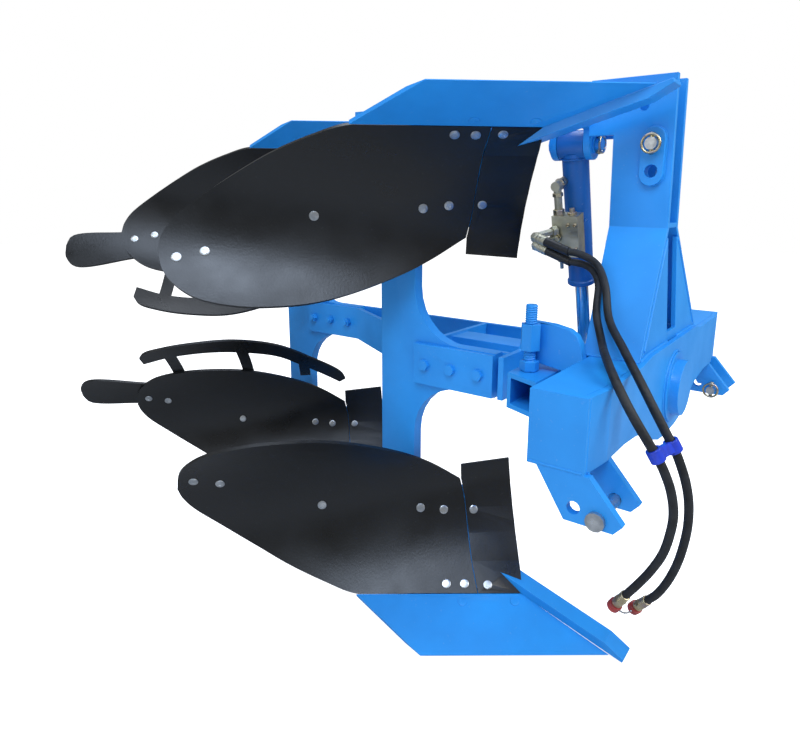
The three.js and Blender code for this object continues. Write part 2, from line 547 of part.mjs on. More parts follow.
function buildFrame() {
  const nose = rod('x', hub.rear, hub.thread, 0, 0, hub.shaft);
  const thread = rod('x', hub.thread, hub.shaftFront, 0, 0, hub.threadRadius);
  add('turnover_hub', ring('x', hub.rear, hub.front, 0, 0, hub.radius, hub.shaft + fit), paint);
  add('turnover_shaft', join(nose, thread), zinc);
  add('shaft_nut', slab('x', hub.thread, hub.thread + hub.nutLength, polygon(0, 0, hub.nutRadius, 6),
    [polygon(0, 0, hub.threadRadius + fit, roundSides)]), zinc);

  const plateRear = closing.front - closing.plate;
  const face = slab('x', plateRear, closing.front, [
    [closing.right, -bar.half], [closing.left, -bar.half], [closing.left, bar.half],
    [closing.right, bar.half],
  ]);
  add('closing_plate', join(face, rod('x', plateRear, closing.front, 0, 0, closing.disc)), paint);

  const boltHoles = (back) => [boltPitch.first, boltPitch.second, boltPitch.third]
    .map((x) => polygon(x - back, 0, boltPitch.hole, 8));
  const legRadius = leg.arcX - leg.front;
  const legOutline = [
    [leg.rear, -leg.half], [leg.front, -leg.half],
    ...arc(leg.arcX, -leg.arcZ, legRadius, 180, 90, 7),
    [leg.armFront, -leg.armHalf], [leg.armFront, leg.armHalf],
    ...arc(leg.arcX, leg.arcZ, legRadius, 270, 180, 7),
    [leg.front, leg.half], [leg.rear, leg.half],
  ];
  const legPlate = slab('y', leg.right, leg.right + leg.plate, legOutline, boltHoles(0));
  const stayPiece = mouldboardStay();
  const wholeLeg = join(legPlate, stayPiece, mirrored(stayPiece, 'z'));
  add('leg_front', wholeLeg, paint);
  add('leg_rear', wholeLeg.clone().translate(-rearBody.back, rearBody.across, 0), paint);

  const clampRight = leg.right - bar.plate;
  const clampRear = leg.front + bar.plate / 2;
  const clamp = block(clampRear, leg.armFront, clampRight, leg.right, -bar.half, bar.half);
  const nearFace = leg.right + leg.plate;
  const rearFace = diagonal.rearRight;
  const plan = [
    [plateRear, nearFace], [plateRear, nearFace + bar.plate],
    [diagonal.bendFront + diagonal.skew, nearFace + bar.plate],
    [diagonal.bendRear + diagonal.skew, rearFace + bar.plate], [diagonal.rearEnd, rearFace + bar.plate],
    [diagonal.rearEnd, rearFace], [diagonal.bendRear, rearFace], [diagonal.bendFront, nearFace],
  ];
  const drillFront = [boltPitch.first, boltPitch.second, boltPitch.third]
    .map((x) => rod('y', nearFace - overrun, nearFace + bar.plate + overrun, x, 0, boltPitch.hole, 8));
  const drillRear = drillFront.map((drill) => drill.clone().translate(-rearBody.back,
    rearFace - nearFace, 0));
  add('diagonal_beam', cut(slab('z', -bar.half, bar.half, plan), ...drillFront, ...drillRear), paint);
  const tube = (from, to, inset) => block(from, to, -centreTube.half + inset, centreTube.half - inset,
    -centreTube.halfHeight + inset, centreTube.halfHeight - inset);
  const braceFront = brace.rear + brace.plate;
  add('centre_frame', join(
    block(brace.rear, braceFront, nearFace + bar.plate, farBarLeft - bar.plate, -bar.half, bar.half),
    cut(tube(braceFront - fit, plateRear, 0), tube(braceFront, plateRear + overrun, centreTube.wall)),
  ), paint);

  const frontEnd = nearFace + bar.plate + boltPitch.nut;
  const rearLow = rearFace - boltPitch.nut;
  const places = [boltPitch.first, boltPitch.second, boltPitch.third];
  const frontBolts = places.flatMap((x) => [
    rod('y', clampRight - boltPitch.head / 2, frontEnd + boltPitch.head / 2, x, 0, boltPitch.radius, 8),
    rod('y', clampRight - boltPitch.head, clampRight + fit, x, 0, boltPitch.across, 6),
    rod('y', frontEnd - boltPitch.nut + fit, frontEnd, x, 0, boltPitch.across, 6),
  ]);
  add('clamp_plate', join(clamp, ...frontBolts), paint);
  const rearBolts = places.map((x) => x - rearBody.back).flatMap((x) => [
    rod('y', rearLow - boltPitch.head / 2, farBarLeft + boltPitch.head / 2, x, 0, boltPitch.radius, 8),
    rod('y', farBarLeft - fit, farBarLeft + boltPitch.head, x, 0, boltPitch.across, 6),
    rod('y', rearLow, rearFace - fit, x, 0, boltPitch.across, 6),
  ]);
  const farBeam = block(diagonal.rearEnd, plateRear, farBarLeft - bar.plate, farBarLeft, -bar.half,
    bar.half);
  add('far_beam', join(farBeam, ...rearBolts), paint);

  const webFront = crankPin.webRear + crankPin.web;
  const web = slab('x', crankPin.webRear, webFront, [
    ...arc(cylinder.crankRadius, 0, crankPin.bossRadius, -80, 80, 10),
    ...arc(0, 0, crankPin.root, 70, 290, 14),
  ]);
  const pinFront = cylinder.x + cylinder.rodEyeWidth / 2 + crankPin.head / 2;
  const pin = rod('x', webFront - crankPin.web / 2, pinFront + crankPin.head, cylinder.crankRadius, 0,
    crankPin.radius, cylinderSides);
  const washer = rod('x', pinFront, pinFront + crankPin.head, cylinder.crankRadius, 0,
    crankPin.headRadius, smallSides);
  const hubRound = rod('x', hub.rear - overrun, hub.front, 0, 0, hub.radius + fit);
  add('crank', join(cut(web, hubRound), pin, washer), paint);

  const mouth = (inset) => slab('z', stopArm.bottom + inset, stopArm.top - inset, [
    [stopArm.rear + inset, 0], [stopArm.rear + inset, -stopArm.rearReach - (inset ? overrun : 0)],
    [stopArm.front - inset, -stopArm.frontReach - (inset ? overrun : 0)], [stopArm.front - inset, 0],
  ]);
  add('stop_arm', cut(mouth(0), mouth(stopArm.wall), hubRound), paint);
}

// Plough bodies

function depthOf(lift) {
  return groundDepth - lift;
}

function across(along, depth) {
  const rise = seamDepth - depth;
  return share.seamAcross - board.steepShare * rise + (rise * rise) / (2 * board.curlRadius)
    - board.twistShare * (rise / board.twistDepth) * (along - board.twistFrom);
}

function placed(along, over, depth) {
  return new THREE.Vector3(along * Math.cos(shareAngle) + over * Math.sin(shareAngle),
    along * Math.sin(shareAngle) - over * Math.cos(shareAngle), depth);
}

// A point of the board's face, moved out of it by the offset.
function onBoard(along, depth, offset) {
  const rise = seamDepth - depth;
  const slopeAlong = -board.twistShare * (rise / board.twistDepth);
  const slopeDepth = board.steepShare - rise / board.curlRadius
    + (board.twistShare * (along - board.twistFrom)) / board.twistDepth;
  const out = new THREE.Vector3(-slopeAlong, 1, -slopeDepth).normalize().multiplyScalar(offset);
  return placed(along + out.x, across(along, depth) + out.y, depth + out.z);
}

function onShare(along, over, offset) {
  const run = share.edgeAcross - share.seamAcross;
  const drop = edgeDepth - seamDepth;
  const size = Math.hypot(run, drop);
  const depth = edgeDepth - ((share.edgeAcross - over) * drop) / run;
  return placed(along, over + (offset * drop) / size, depth - (offset * run) / size);
}

// A closed sheet that follows the board between two offsets from its face. Its facets lie on one
// grid for every piece, so that pieces behind one another keep their gap.
function boardSheet(rear, front, low, high, face, back) {
  const firstAlong = Math.floor(rear / facet.along);
  const firstDeep = Math.floor(low / facet.deep);
  const cellsAlong = Math.ceil(front / facet.along) - firstAlong;
  const cellsDeep = Math.ceil(high / facet.deep) - firstDeep;
  const points = [];
  for (const offset of [face, back]) {
    for (let i = 0; i <= cellsAlong; i += 1) {
      for (let j = 0; j <= cellsDeep; j += 1) {
        points.push(onBoard((firstAlong + i) * facet.along, (firstDeep + j) * facet.deep, offset));
      }
    }
  }
  const at = (layer, i, j) => (layer * (cellsAlong + 1) + i) * (cellsDeep + 1) + j;
  const index = [];
  const quad = (a, b, c, d) => index.push(a, b, c, a, c, d);
  for (let i = 0; i < cellsAlong; i += 1) {
    for (let j = 0; j < cellsDeep; j += 1) {
      quad(at(0, i, j), at(0, i + 1, j), at(0, i + 1, j + 1), at(0, i, j + 1));
      quad(at(1, i, j), at(1, i, j + 1), at(1, i + 1, j + 1), at(1, i + 1, j));
    }
  }
  for (let i = 0; i < cellsAlong; i += 1) {
    quad(at(0, i, 0), at(1, i, 0), at(1, i + 1, 0), at(0, i + 1, 0));
    quad(at(0, i, cellsDeep), at(0, i + 1, cellsDeep), at(1, i + 1, cellsDeep), at(1, i, cellsDeep));
  }
  for (let j = 0; j < cellsDeep; j += 1) {
    quad(at(0, 0, j), at(0, 0, j + 1), at(1, 0, j + 1), at(1, 0, j));
    quad(at(0, cellsAlong, j), at(1, cellsAlong, j), at(1, cellsAlong, j + 1), at(0, cellsAlong, j + 1));
  }
  const geometry = new THREE.BufferGeometry();
  geometry.setAttribute('position', new THREE.Float32BufferAttribute(points.flatMap((p) => [...p]), 3));
  geometry.setIndex(index);
  return facingOut(geometry);
}

// A prism with its outline in (along, depth), run right through across the board.
function through(outline) {
  const reach = 2 * board.length;
  const geometry = new THREE.ExtrudeGeometry(shapeOf(outline), { depth: 2 * reach, bevelEnabled: false });
  geometry.translate(0, 0, -reach);
  const c = Math.cos(shareAngle);
  const s = Math.sin(shareAngle);
  return geometry.applyMatrix4(new THREE.Matrix4().set(c, 0, s, 0, s, 0, -c, 0, 0, 1, 0, 0, 0, 0, 0, 1));
}

// A sheet of the board's form, trimmed to an outline.
function boardPiece(outline, face, back) {
  const alongs = outline.map(([a]) => a);
  const depths = outline.map(([, z]) => z);
  const sheet = boardSheet(Math.min(...alongs) - overrun, Math.max(...alongs) + overrun,
    Math.min(...depths) - overrun, Math.max(...depths) + overrun, face, back);
  return common(sheet, through(outline));
}

function boardOutline(shares) {
  const rim = depthOf(shin.rimLift);
  return shares.map(([s, t]) => [board.seam - s * board.length,
    Math.min(seamDepth - t * board.height, rim)]);
}

function shareSolid(grow, topInset = 0) {
  const section = [
    [share.seamAcross + topInset, grow], [share.edgeAcross, grow],
    [share.edgeAcross, -share.edgePlate - grow],
    [share.edgeAcross - share.bevel, -share.plate - grow],
    [share.seamAcross + topInset, -share.plate - grow],
  ];
  const end = (top, edge, out) => section.map(([over, offset]) => {
    const run = (over - share.seamAcross) / (share.edgeAcross - share.seamAcross);
    return onShare(top + (edge - top) * run + out, over, offset);
  });
  return loft([end(share.wingTop, share.wingEdge, -grow), end(share.noseTop, share.noseEdge, grow)]);
}

function pointSolid(grow) {
  const c = Math.cos(point.slope);
  const s = Math.sin(point.slope);
  const at = (back, up) => [point.tipX - back * c + up * s, groundDepth - back * s - up * c];
  return slab('y', point.right - grow, point.right + point.width + grow, [
    at(-grow, -grow), at(point.length + grow, -grow), at(point.length + grow, point.thick + grow),
    at(point.bevel, point.thick + grow), at(-grow, point.bevelThick + grow),
  ]);
}

// A six-sided turned piece along the line that at() follows from the face inwards.
function turnedAlong(at, steps) {
  const axis = new THREE.Vector3().subVectors(at(0), at(-board.thick)).normalize();
  const one = new THREE.Vector3(0, 0, 1).cross(axis).normalize();
  const two = new THREE.Vector3().crossVectors(axis, one);
  return loft(steps.map(([offset, radius]) => polygon(0, 0, radius, 6).map(([u, v]) => at(offset)
    .addScaledVector(one, u).addScaledVector(two, v))));
}

function boltAlong(at, nutFrom) {
  const seated = -board.thick / 2;
  return turnedAlong(at, [
    [ploughBolt.proud, ploughBolt.headRadius], [seated, ploughBolt.headRadius], [seated, ploughBolt.shank],
    [nutFrom, ploughBolt.shank], [nutFrom, ploughBolt.nutRadius],
    [nutFrom - ploughBolt.nut, ploughBolt.nutRadius],
  ]);
}

// Room for a bolt's shank and, from some depth on, for its nut.
function boltRoom(at, nutFrom) {
  const nutRoom = ploughBolt.nutRadius + 2 * fit;
  return turnedAlong(at, [
    [-fit, ploughBolt.shank + 2 * fit], [nutFrom + fit / 2, ploughBolt.shank + 2 * fit],
    [nutFrom + fit / 2, nutRoom], [nutFrom - 2 * overrun, nutRoom],
  ]);
}

// The strut that holds the middle of a board off the leg's right face.
function mouldboardStay() {
  const behind = -board.thick - fit;
  const footBack = behind - stay.foot;
  const [along, lift] = boltPlaces.middle;
  const depth = depthOf(lift);
  const foot = boardPiece(polygon(along, depth, stay.footHalf, 8, Math.PI / 8), behind, footBack);
  const padFace = leg.right - stay.pad;
  const pad = block(stay.padX - stay.padWidth / 2, stay.padX + stay.padWidth / 2, padFace, leg.right + fit,
    depthOf(stay.padLift) - stay.padHeight / 2, depthOf(stay.padLift) + stay.padHeight / 2);
  const footEnd = onBoard(along + stay.footHalf / 2, depth + stay.footHalf / 2, footBack);
  const strut = barBetween(new THREE.Vector3(stay.padX, padFace + stay.pad / 2, depthOf(stay.padLift)),
    footEnd,
    stay.radius, 8);
  const face = boardSheet(along - 3 * stay.footHalf, along + 3 * stay.footHalf, depth - 3 * stay.footHalf,
    depth + 3 * stay.footHalf, stay.padHeight, behind);
  return cut(join(foot, pad, strut), face, boltRoom((out) => onBoard(along, depth, out), footBack));
}

function buildBodies() {
  const behind = -board.thick - fit;
  const behindSeat = behind - frog.seat - fit;
  const under = -share.plate - fit;
  const boardBolt = (nutFrom) => ([a, lift]) => boltAlong((out) => onBoard(a, depthOf(lift), out), nutFrom);
  const shareBolt = ([a, b]) => boltAlong((out) => onShare(a, b, out), under - frog.seat - fit);

  const plainBoard = boardPiece(boardOutline([...seamShares, ...rimShares]), 0, -board.thick);
  const seatBolts = [...boltPlaces.boardFront.map(boardBolt(behindSeat)),
    boardBolt(behind - stay.foot - fit)(boltPlaces.middle)];
  const layer = behind - tailStrip.thick;
  const strip = boardPiece(tailShares.map(([s, t]) => [
    tailStrip.front - s * tailStrip.length, depthOf(tailStrip.lift) + t * tailStrip.height,
  ]), behind, layer);
  const frontBoard = join(plainBoard, ...seatBolts, ...boltPlaces.tail.map(boardBolt(behind)));
  const rearBoard = join(plainBoard, ...seatBolts, strip, ...boltPlaces.tail.map(boardBolt(layer + fit)));

  const seam = boardOutline(seamShares).map(([a, z]) => [a + board.seamGap, z]);
  const shinOutline = [
    ...seam, [board.seam - shin.nose, depthOf(shin.innerLift)], [shin.topFront, depthOf(shin.outerLift)],
    [shin.noseFront, depthOf(shin.noseLift)], [shin.noseFront, depthOf(shin.rimLift)],
  ];
  const shinPiece = join(
    cut(boardPiece(shinOutline, 0, -board.thick), pointSolid(2 * fit)),
    ...boltPlaces.shinPair.map(boardBolt(behindSeat)),
  );
  const sharePiece = join(cut(shareSolid(0), pointSolid(fit)), ...shareBolts.map(shareBolt));

  const frogPlate = slab('y', frog.right, frog.right + frog.plate, frogShares.map(([s, t]) => [
    frog.rear + s * frog.length, groundDepth - frog.lift - t * frog.height,
  ]));
  const seatDeep = seamDepth - frog.seatInset;
  const seat = boardPiece([
    [frog.seatRear, depthOf(frog.seatLift)], [frog.seatFront, depthOf(frog.seatLift)],
    [frog.seatFront, seatDeep], [frog.seatRear, seatDeep],
  ], behind, behind - frog.seat);
  const shareSeat = loft([frog.seatRear, frog.shareSeatFront].map((along) => [
    onShare(along, share.seamAcross - overrun, under), onShare(along, frog.shareSeatEdge, under),
    onShare(along, frog.shareSeatEdge, under - frog.seat),
    onShare(along, share.seamAcross - overrun, under - frog.seat),
  ]));
  const soilSide = boardSheet(-board.length, frog.seatFront + 4 * overrun,
    depthOf(frog.seatLift) - 4 * overrun,
    seamDepth + fit, board.length / 3, behind);
  const seatRoom = ([a, lift]) => boltRoom((out) => onBoard(a, depthOf(lift), out), behind - frog.seat);
  const shareRoom = ([a, b]) => boltRoom((out) => onShare(a, b, out), under - frog.seat);
  const seatPlaces = [...boltPlaces.boardFront, ...boltPlaces.shinPair];
  const frogLeft = frog.right + frog.plate;
  const landsidePiece = block(landside.rear, landside.front, frogLeft - fit, frogLeft + landside.plate,
    groundDepth - landside.lift - landside.height, groundDepth - landside.lift);
  const frogPiece = join(
    cut(join(cut(frogPlate, soilSide), seat, shareSeat), shareSolid(fit), pointSolid(fit),
      ...seatPlaces.map(seatRoom), ...shareBolts.map(shareRoom)),
    landsidePiece,
  );

  const alongBar = ([s, t]) => [trashBar.rearAlong + s * trashBar.length,
    depthOf(trashBar.lift) + t * trashBar.height];
  const posts = postShares.map((postShare) => {
    const [along, top] = alongBar(postShare);
    return through([
      [along - trashBar.postWidth / 2, top], [along + trashBar.postWidth / 2, top],
      [along + trashBar.postWidth / 2, depthOf(trashBar.postLift)],
      [along - trashBar.postWidth / 2, depthOf(trashBar.postLift)],
    ]);
  });
  const trashSheet = boardSheet(trashBar.rearAlong - overrun,
    trashBar.rearAlong + trashBar.length + overrun,
    depthOf(trashBar.lift) - overrun, depthOf(trashBar.lift) + trashBar.height + overrun, behind,
    behind - trashBar.thick);
  const trashPiece = common(trashSheet,
    join(through([...trashOuterShares, ...trashInnerShares].map(alongBar)), ...posts));

  const toRear = (geometry) => geometry.clone().translate(-rearBody.back, rearBody.across, 0);
  const lower = (geometry) => mirrored(geometry, 'z');
  const place = (name, finish, front, rear = front) => {
    if (front) {
      add(`${name}_front_upper`, front, finish);
      add(`${name}_front_lower`, lower(front), finish);
    }
    add(`${name}_rear_upper`, toRear(rear), finish);
    add(`${name}_rear_lower`, toRear(lower(rear)), finish);
  };
  place('mouldboard', black, frontBoard, rearBoard);
  place('shin', black, shinPiece);
  place('share', paint, sharePiece);
  place('bar_point', paint, pointSolid(0));
  place('frog', paint, frogPiece);
  place('trash_bar', black, null, trashPiece);
}

// Cylinder, with the valve block on it. It is built hanging straight down and then leaned.

function buildCylinder() {
  const centres = Math.hypot(cylinder.crankRadius, cylinder.topZ);
  const halfEye = cylinder.eyeWidth / 2;
  const eye = rod('x', -halfEye, halfEye, 0, 0, cylinder.eyeRadius, cylinderSides);
  const tube = rod('z', -cylinder.barrelEnd, -cylinder.neck, 0, 0, cylinder.barrelRadius, cylinderSides);
  const bore = rod('z', -cylinder.barrelEnd - overrun, -cylinder.boreStart, 0, 0, cylinder.boreRadius,
    cylinderSides);
  const eyeBore = rod('x', -halfEye - overrun, halfEye + overrun, 0, 0, cylinder.eyeBore, cylinderSides);
  add('cylinder_barrel', cut(join(eye, tube), bore, eyeBore), paint, leaned);

  const gland = join(
    rod('z', -cylinder.barrelEnd - cylinder.glandLip, -cylinder.barrelEnd, 0, 0, cylinder.glandRadius,
      cylinderSides),
    rod('z', -cylinder.barrelEnd - cylinder.glandLip / 2, -cylinder.barrelEnd + cylinder.glandInsert, 0, 0,
      cylinder.boreRadius - fit, cylinderSides),
  );
  const rodHole = rod('z', -cylinder.barrelEnd - overrun, -cylinder.pistonStart, 0, 0,
    cylinder.rodRadius + fit, cylinderSides);
  add('cylinder_gland', cut(gland, rodHole), paint, leaned);

  const halfRodEye = cylinder.rodEyeWidth / 2;
  const shank = rod('z', -centres, -cylinder.pistonStart, 0, 0, cylinder.rodRadius, cylinderSides);
  const piston = rod('z', -cylinder.pistonStart - cylinder.pistonLength, -cylinder.pistonStart, 0, 0,
    cylinder.boreRadius - 2 * fit, cylinderSides);
  const rodEye = rod('x', -halfRodEye, halfRodEye, 0, -centres, cylinder.rodEyeRadius, cylinderSides);
  const rodBore = rod('x', -halfRodEye - overrun, halfRodEye + overrun, 0, -centres, cylinder.rodBore,
    cylinderSides);
  add('cylinder_rod', cut(join(shank, piston, rodEye), rodBore), zinc, leaned);

  const low = valve.xLow - cylinder.x;
  const high = valve.xHigh - cylinder.x;
  const body = block(low, high, valve.near, valve.far, -valve.start - valve.length, -valve.start);
  const clampX = valve.bracketX - valve.bracket / 2 - cylinder.x;
  const bracket = block(clampX, clampX + valve.bracket, valve.far - fit, 0,
    -valve.start - valve.length + overrun, -valve.start - overrun);
  const port = rod('y', -valve.portReach, 0, valve.portX - cylinder.x, -valve.portDown, valve.portRadius,
    smallSides);
  const fitting = rod('z', -valve.start - fit, -valve.portDown, valve.portX - cylinder.x, valve.fittingY,
    valve.fittingRadius, smallSides);
  const nipple = join(
    rod('z', -valve.start - valve.length - valve.nippleLength, -valve.start - valve.length + fit,
      valve.nippleX - cylinder.x, valve.fittingY, valve.fittingRadius, 6),
    rod('z', -valve.start - valve.length - 2 * valve.nippleLength, -valve.start - valve.length,
      valve.nippleX - cylinder.x, valve.fittingY, valve.fittingRadius / 2, 8),
  );
  const barrelRound = rod('z', -cylinder.barrelEnd, 0, 0, 0, cylinder.barrelRadius + fit, cylinderSides);
  const lean = Math.atan(cylinder.crankRadius / cylinder.topZ);
  const upright = new THREE.Matrix4().makeRotationX(lean).setPosition(cylinder.x, 0,
    cylinder.topZ).invert();
  const arms = [pressureRoute, returnRoute].map(([hoseEnd], i) => {
    const [start, end] = [ferruleEnds[i],
      hoseEnd].map((p) => new THREE.Vector3(...p).applyMatrix4(upright));
    const back = new THREE.Vector3().subVectors(start, end).normalize();
    const ferruleEnd = start.clone().addScaledVector(back, elbow.ferruleLength);
    const knee = ferruleEnd.clone().addScaledVector(back, elbow.arm);
    const root = new THREE.Vector3(valve.nippleX - cylinder.x, valve.near + fit, knee.z);
    const lead = new THREE.Vector3().subVectors(knee, root).normalize();
    return join(
      barBetween(end.clone().addScaledVector(back, -elbow.ferruleLength), start, elbow.sleeve, 8),
      barBetween(start.clone().addScaledVector(back, -fit), ferruleEnd, elbow.ferrule, 8),
      barBetween(ferruleEnd.clone().addScaledVector(back, -fit),
        knee.clone().addScaledVector(back, elbow.arm / 2),
        elbow.arm, 6),
      barBetween(root, knee, elbow.arm, 6),
      barBetween(root, root.clone().addScaledVector(lead, elbow.nut), elbow.nut, 6),
    );
  });
  const ahead = block(elbow.mouthX, elbow.mouthX + valve.length, valve.near - cylinder.topZ, 0, 0,
    cylinder.topZ);
  add('valve_block', cut(join(body, bracket, port, fitting, nipple, ...arms), barrelRound,
    ahead.applyMatrix4(upright)), zinc, leaned);
  leaned.rotation.x = lean;
  leaned.position.set(cylinder.x, 0, cylinder.topZ);
  group.add(leaned);
}

// Hoses

function buildHoses() {
  const held = [];
  for (const [name, route, clamped] of [['pressure', pressureRoute, 10], ['return', returnRoute, 11]]) {
    const curve = new THREE.CatmullRomCurve3(route.map((p) => new THREE.Vector3(...p)), false,
      'centripetal');
    add(`${name}_hose`, new THREE.ExtrudeGeometry(
      shapeOf(polygon(0, 0, hose.radius, hose.sides)),
      { extrudePath: curve, steps: hose.steps, curveSegments: 1 },
    ), rubber);
    const end = curve.getPointAt(1);
    const way = curve.getTangentAt(1);
    const at = (distance) => end.clone().addScaledVector(way, distance);
    const bodyStart = coupler.ferruleLength;
    const bodyEnd = bodyStart + coupler.bodyLength;
    add(`${name}_coupler`, join(
      barBetween(at(fit), at(bodyStart + fit), coupler.ferrule, 8),
      barBetween(at(bodyStart), at(bodyEnd), coupler.body, 6),
      barBetween(at(bodyEnd - fit), at(bodyEnd + coupler.capLength), coupler.cap, 8),
    ), yellowZinc);
    const spine = curve.getSpacedPoints(hose.steps);
    const wanted = new THREE.Vector3(...route[clamped]);
    const middles = spine.slice(1).map((p, k) => new THREE.Vector3().addVectors(p,
      spine[k]).multiplyScalar(0.5));
    const nearest = middles.reduce((best, p, k) => (
      p.distanceTo(wanted) < middles[best].distanceTo(wanted) ? k : best), 0);
    held.push([middles[nearest],
      new THREE.Vector3().subVectors(spine[nearest + 1], spine[nearest]).normalize()]);
  }

  const [[a, downA], [b, downB]] = held;
  const side = new THREE.Vector3().subVectors(b, a);
  const width = side.length();
  side.normalize();
  const down = new THREE.Vector3().addVectors(downA, downB).normalize();
  const out = new THREE.Vector3().crossVectors(down, side).normalize();
  const half = hoseClamp.width / 2;
  const hole = hose.radius + hoseClamp.play;
  const strap = slab('z', -half, half,
    [...arc(0, 0, hole + hoseClamp.skin, 90, 270, 6), ...arc(width, 0, hole + hoseClamp.skin, -90, 90, 6)],
    [polygon(0, 0, hole, smallSides), polygon(width, 0, hole, smallSides)]);
  strap.applyMatrix4(new THREE.Matrix4().makeBasis(side, out, down).setPosition(a));
  add('hose_clamp', facingOut(strap), bluePlastic);
}

buildBeam();
buildBearing();
buildLowerPins();
buildMast();
buildTopLinkPin();
buildCylinderArm();
buildStops();
buildFrame();
buildBodies();
buildCylinder();
buildHoses();

const box = new THREE.Box3();
group.updateMatrixWorld(true);
group.traverse((piece) => {
  if (piece.isMesh && !cordNames.includes(piece.name)) box.expandByObject(piece);
});
const tenth = (value) => Math.round(value * 10) / 10;
group.position.set(
  -tenth((box.min.x + box.max.x) / 2), -tenth((box.min.y + box.max.y) / 2), -tenth(box.min.z),
);
group.updateMatrixWorld(true);

export default group;
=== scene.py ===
import json
import math

import bmesh
import bpy
import numpy as np
from mathutils import Matrix, Vector


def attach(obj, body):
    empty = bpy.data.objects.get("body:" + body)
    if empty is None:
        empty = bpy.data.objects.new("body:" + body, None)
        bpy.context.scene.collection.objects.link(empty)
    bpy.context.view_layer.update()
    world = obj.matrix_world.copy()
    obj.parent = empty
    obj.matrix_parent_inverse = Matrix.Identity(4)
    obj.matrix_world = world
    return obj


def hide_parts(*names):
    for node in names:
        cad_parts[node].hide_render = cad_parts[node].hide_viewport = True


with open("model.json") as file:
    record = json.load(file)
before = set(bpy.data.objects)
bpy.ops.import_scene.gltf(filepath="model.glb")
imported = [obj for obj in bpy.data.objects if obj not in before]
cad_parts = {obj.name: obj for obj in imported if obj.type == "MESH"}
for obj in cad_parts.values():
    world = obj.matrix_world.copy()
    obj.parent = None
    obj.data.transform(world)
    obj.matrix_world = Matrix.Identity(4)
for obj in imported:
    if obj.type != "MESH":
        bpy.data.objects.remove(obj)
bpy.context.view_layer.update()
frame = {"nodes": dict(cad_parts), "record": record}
turnoverAxis = np.array([0.8119, 0.0554, 0.612])  # where the turnover axis lies in the part, metres
frameColour = "2592E4"


def place(points):
    # Millimetres from the turnover axis to metres in the part
    return np.asarray(points, dtype=float) / 1000 + turnoverAxis


# Camera, from the photograph's own perspective
cameraSettings = {
    "position": (1.1383, -1.3049, 0.9972),
    "yaw": 2.1762, "pitch": -0.2118, "roll": 0.0123,
    "picture": (800, 741), "focal": 614.85, "middle": (433.1, 334.9),  # pixels
    "sensor": 36, "farEnd": 60,
}


def makeCamera(s):
    yaw, pitch, roll = s["yaw"], s["pitch"], s["roll"]
    ahead = Vector((math.cos(yaw) * math.cos(pitch), math.sin(yaw) * math.cos(pitch), math.sin(pitch)))
    right = ahead.cross(Vector((0, 0, 1))).normalized()
    up = right.cross(ahead)
    right, up = right * math.cos(roll) + up * math.sin(roll), up * math.cos(roll) - right * math.sin(roll)
    data = bpy.data.cameras.new("camera")
    wide, high = s["picture"]
    data.sensor_width = s["sensor"]
    data.lens = s["sensor"] * s["focal"] / wide
    data.shift_x = (wide / 2 - s["middle"][0]) / wide
    data.shift_y = (s["middle"][1] - high / 2) / wide
    data.clip_end = s["farEnd"]
    camera = bpy.data.objects.new("camera", data)
    turn = Matrix((right, up, -ahead)).transposed().to_4x4()
    camera.matrix_world = Matrix.Translation(s["position"]) @ turn
    bpy.context.collection.objects.link(camera)
    bpy.context.scene.camera = camera


makeCamera(cameraSettings)
print("camera placed")


# Materials

def linear(hexColour):
    # sRGB hex to the linear colour that the shader takes
    parts = [int(hexColour[i:i + 2], 16) / 255 for i in (0, 2, 4)]
    return tuple(p / 12.92 if p <= 0.04045 else ((p + 0.055) / 1.055) ** 2.4 for p in parts) + (1.0,)


def addNode(tree, kind, settings=None, links=None):
    # Adds one node, sets its sockets or its own properties, and links its sockets to their sources,
    # each a socket, or a node for its first output
    item = tree.nodes.new(kind)
    for key, value in (settings or {}).items():
        if isinstance(key, int) or key in item.inputs:
            item.inputs[key].default_value = value
        else:
            setattr(item, key, value)
    for key, source in (links or {}).items():
        tree.links.new(getattr(source, "outputs", [source])[0], item.inputs[key])
    return item


def newMaterial(name, shader):
    # A material with one Principled shader, and its tree and Object coordinates
    material = bpy.data.materials.new(name)
    material.use_nodes = True
    tree = material.node_tree
    tree.nodes.clear()
    surface = addNode(tree, "ShaderNodeBsdfPrincipled", shader)
    addNode(tree, "ShaderNodeOutputMaterial", {}, {0: surface})
    coords = addNode(tree, "ShaderNodeTexCoord").outputs["Object"]
    return material, tree, surface, coords


# Real sizes of the patterns, millimetres
patternSizes = {
    "sprayPatch": 142.9, "dustSpeck": 6.25, "plateGrain": 1.111, "mouldedPatch": 16.67, "hoseDust": 22.22,
}
noiseSpan = {"From Min": 0.35, "From Max": 0.65}  # what a noise value mostly keeps to
speckSpan = {"From Min": 0.66, "From Max": 0.8}  # only its peaks, for specks
dustColour = "C9CDD0"


def unevenSurface(tree, surface, patches, height, s):
    # Colour and roughness follow the patches from their first value to their second, and height
    # makes the bump, whose depth is in millimetres. Returns the colour, not yet linked.
    first, second = s["colours"]
    strength, depth = s["bump"]
    share, dull = (
        addNode(tree, "ShaderNodeMapRange", {**noiseSpan, "To Min": low, "To Max": high}, {"Value": patches})
        for low, high in ((0, 1), s["roughness"]))
    mixed = {"data_type": "RGBA", 6: linear(first), 7: linear(second)}
    raised = {"Strength": strength, "Distance": depth / 1000}
    bump = addNode(tree, "ShaderNodeBump", raised, {"Height": height})
    tree.links.new(dull.outputs[0], surface.inputs["Roughness"])
    tree.links.new(bump.outputs[0], surface.inputs["Normal"])
    return addNode(tree, "ShaderNodeMix", mixed, {0: share}).outputs[2]


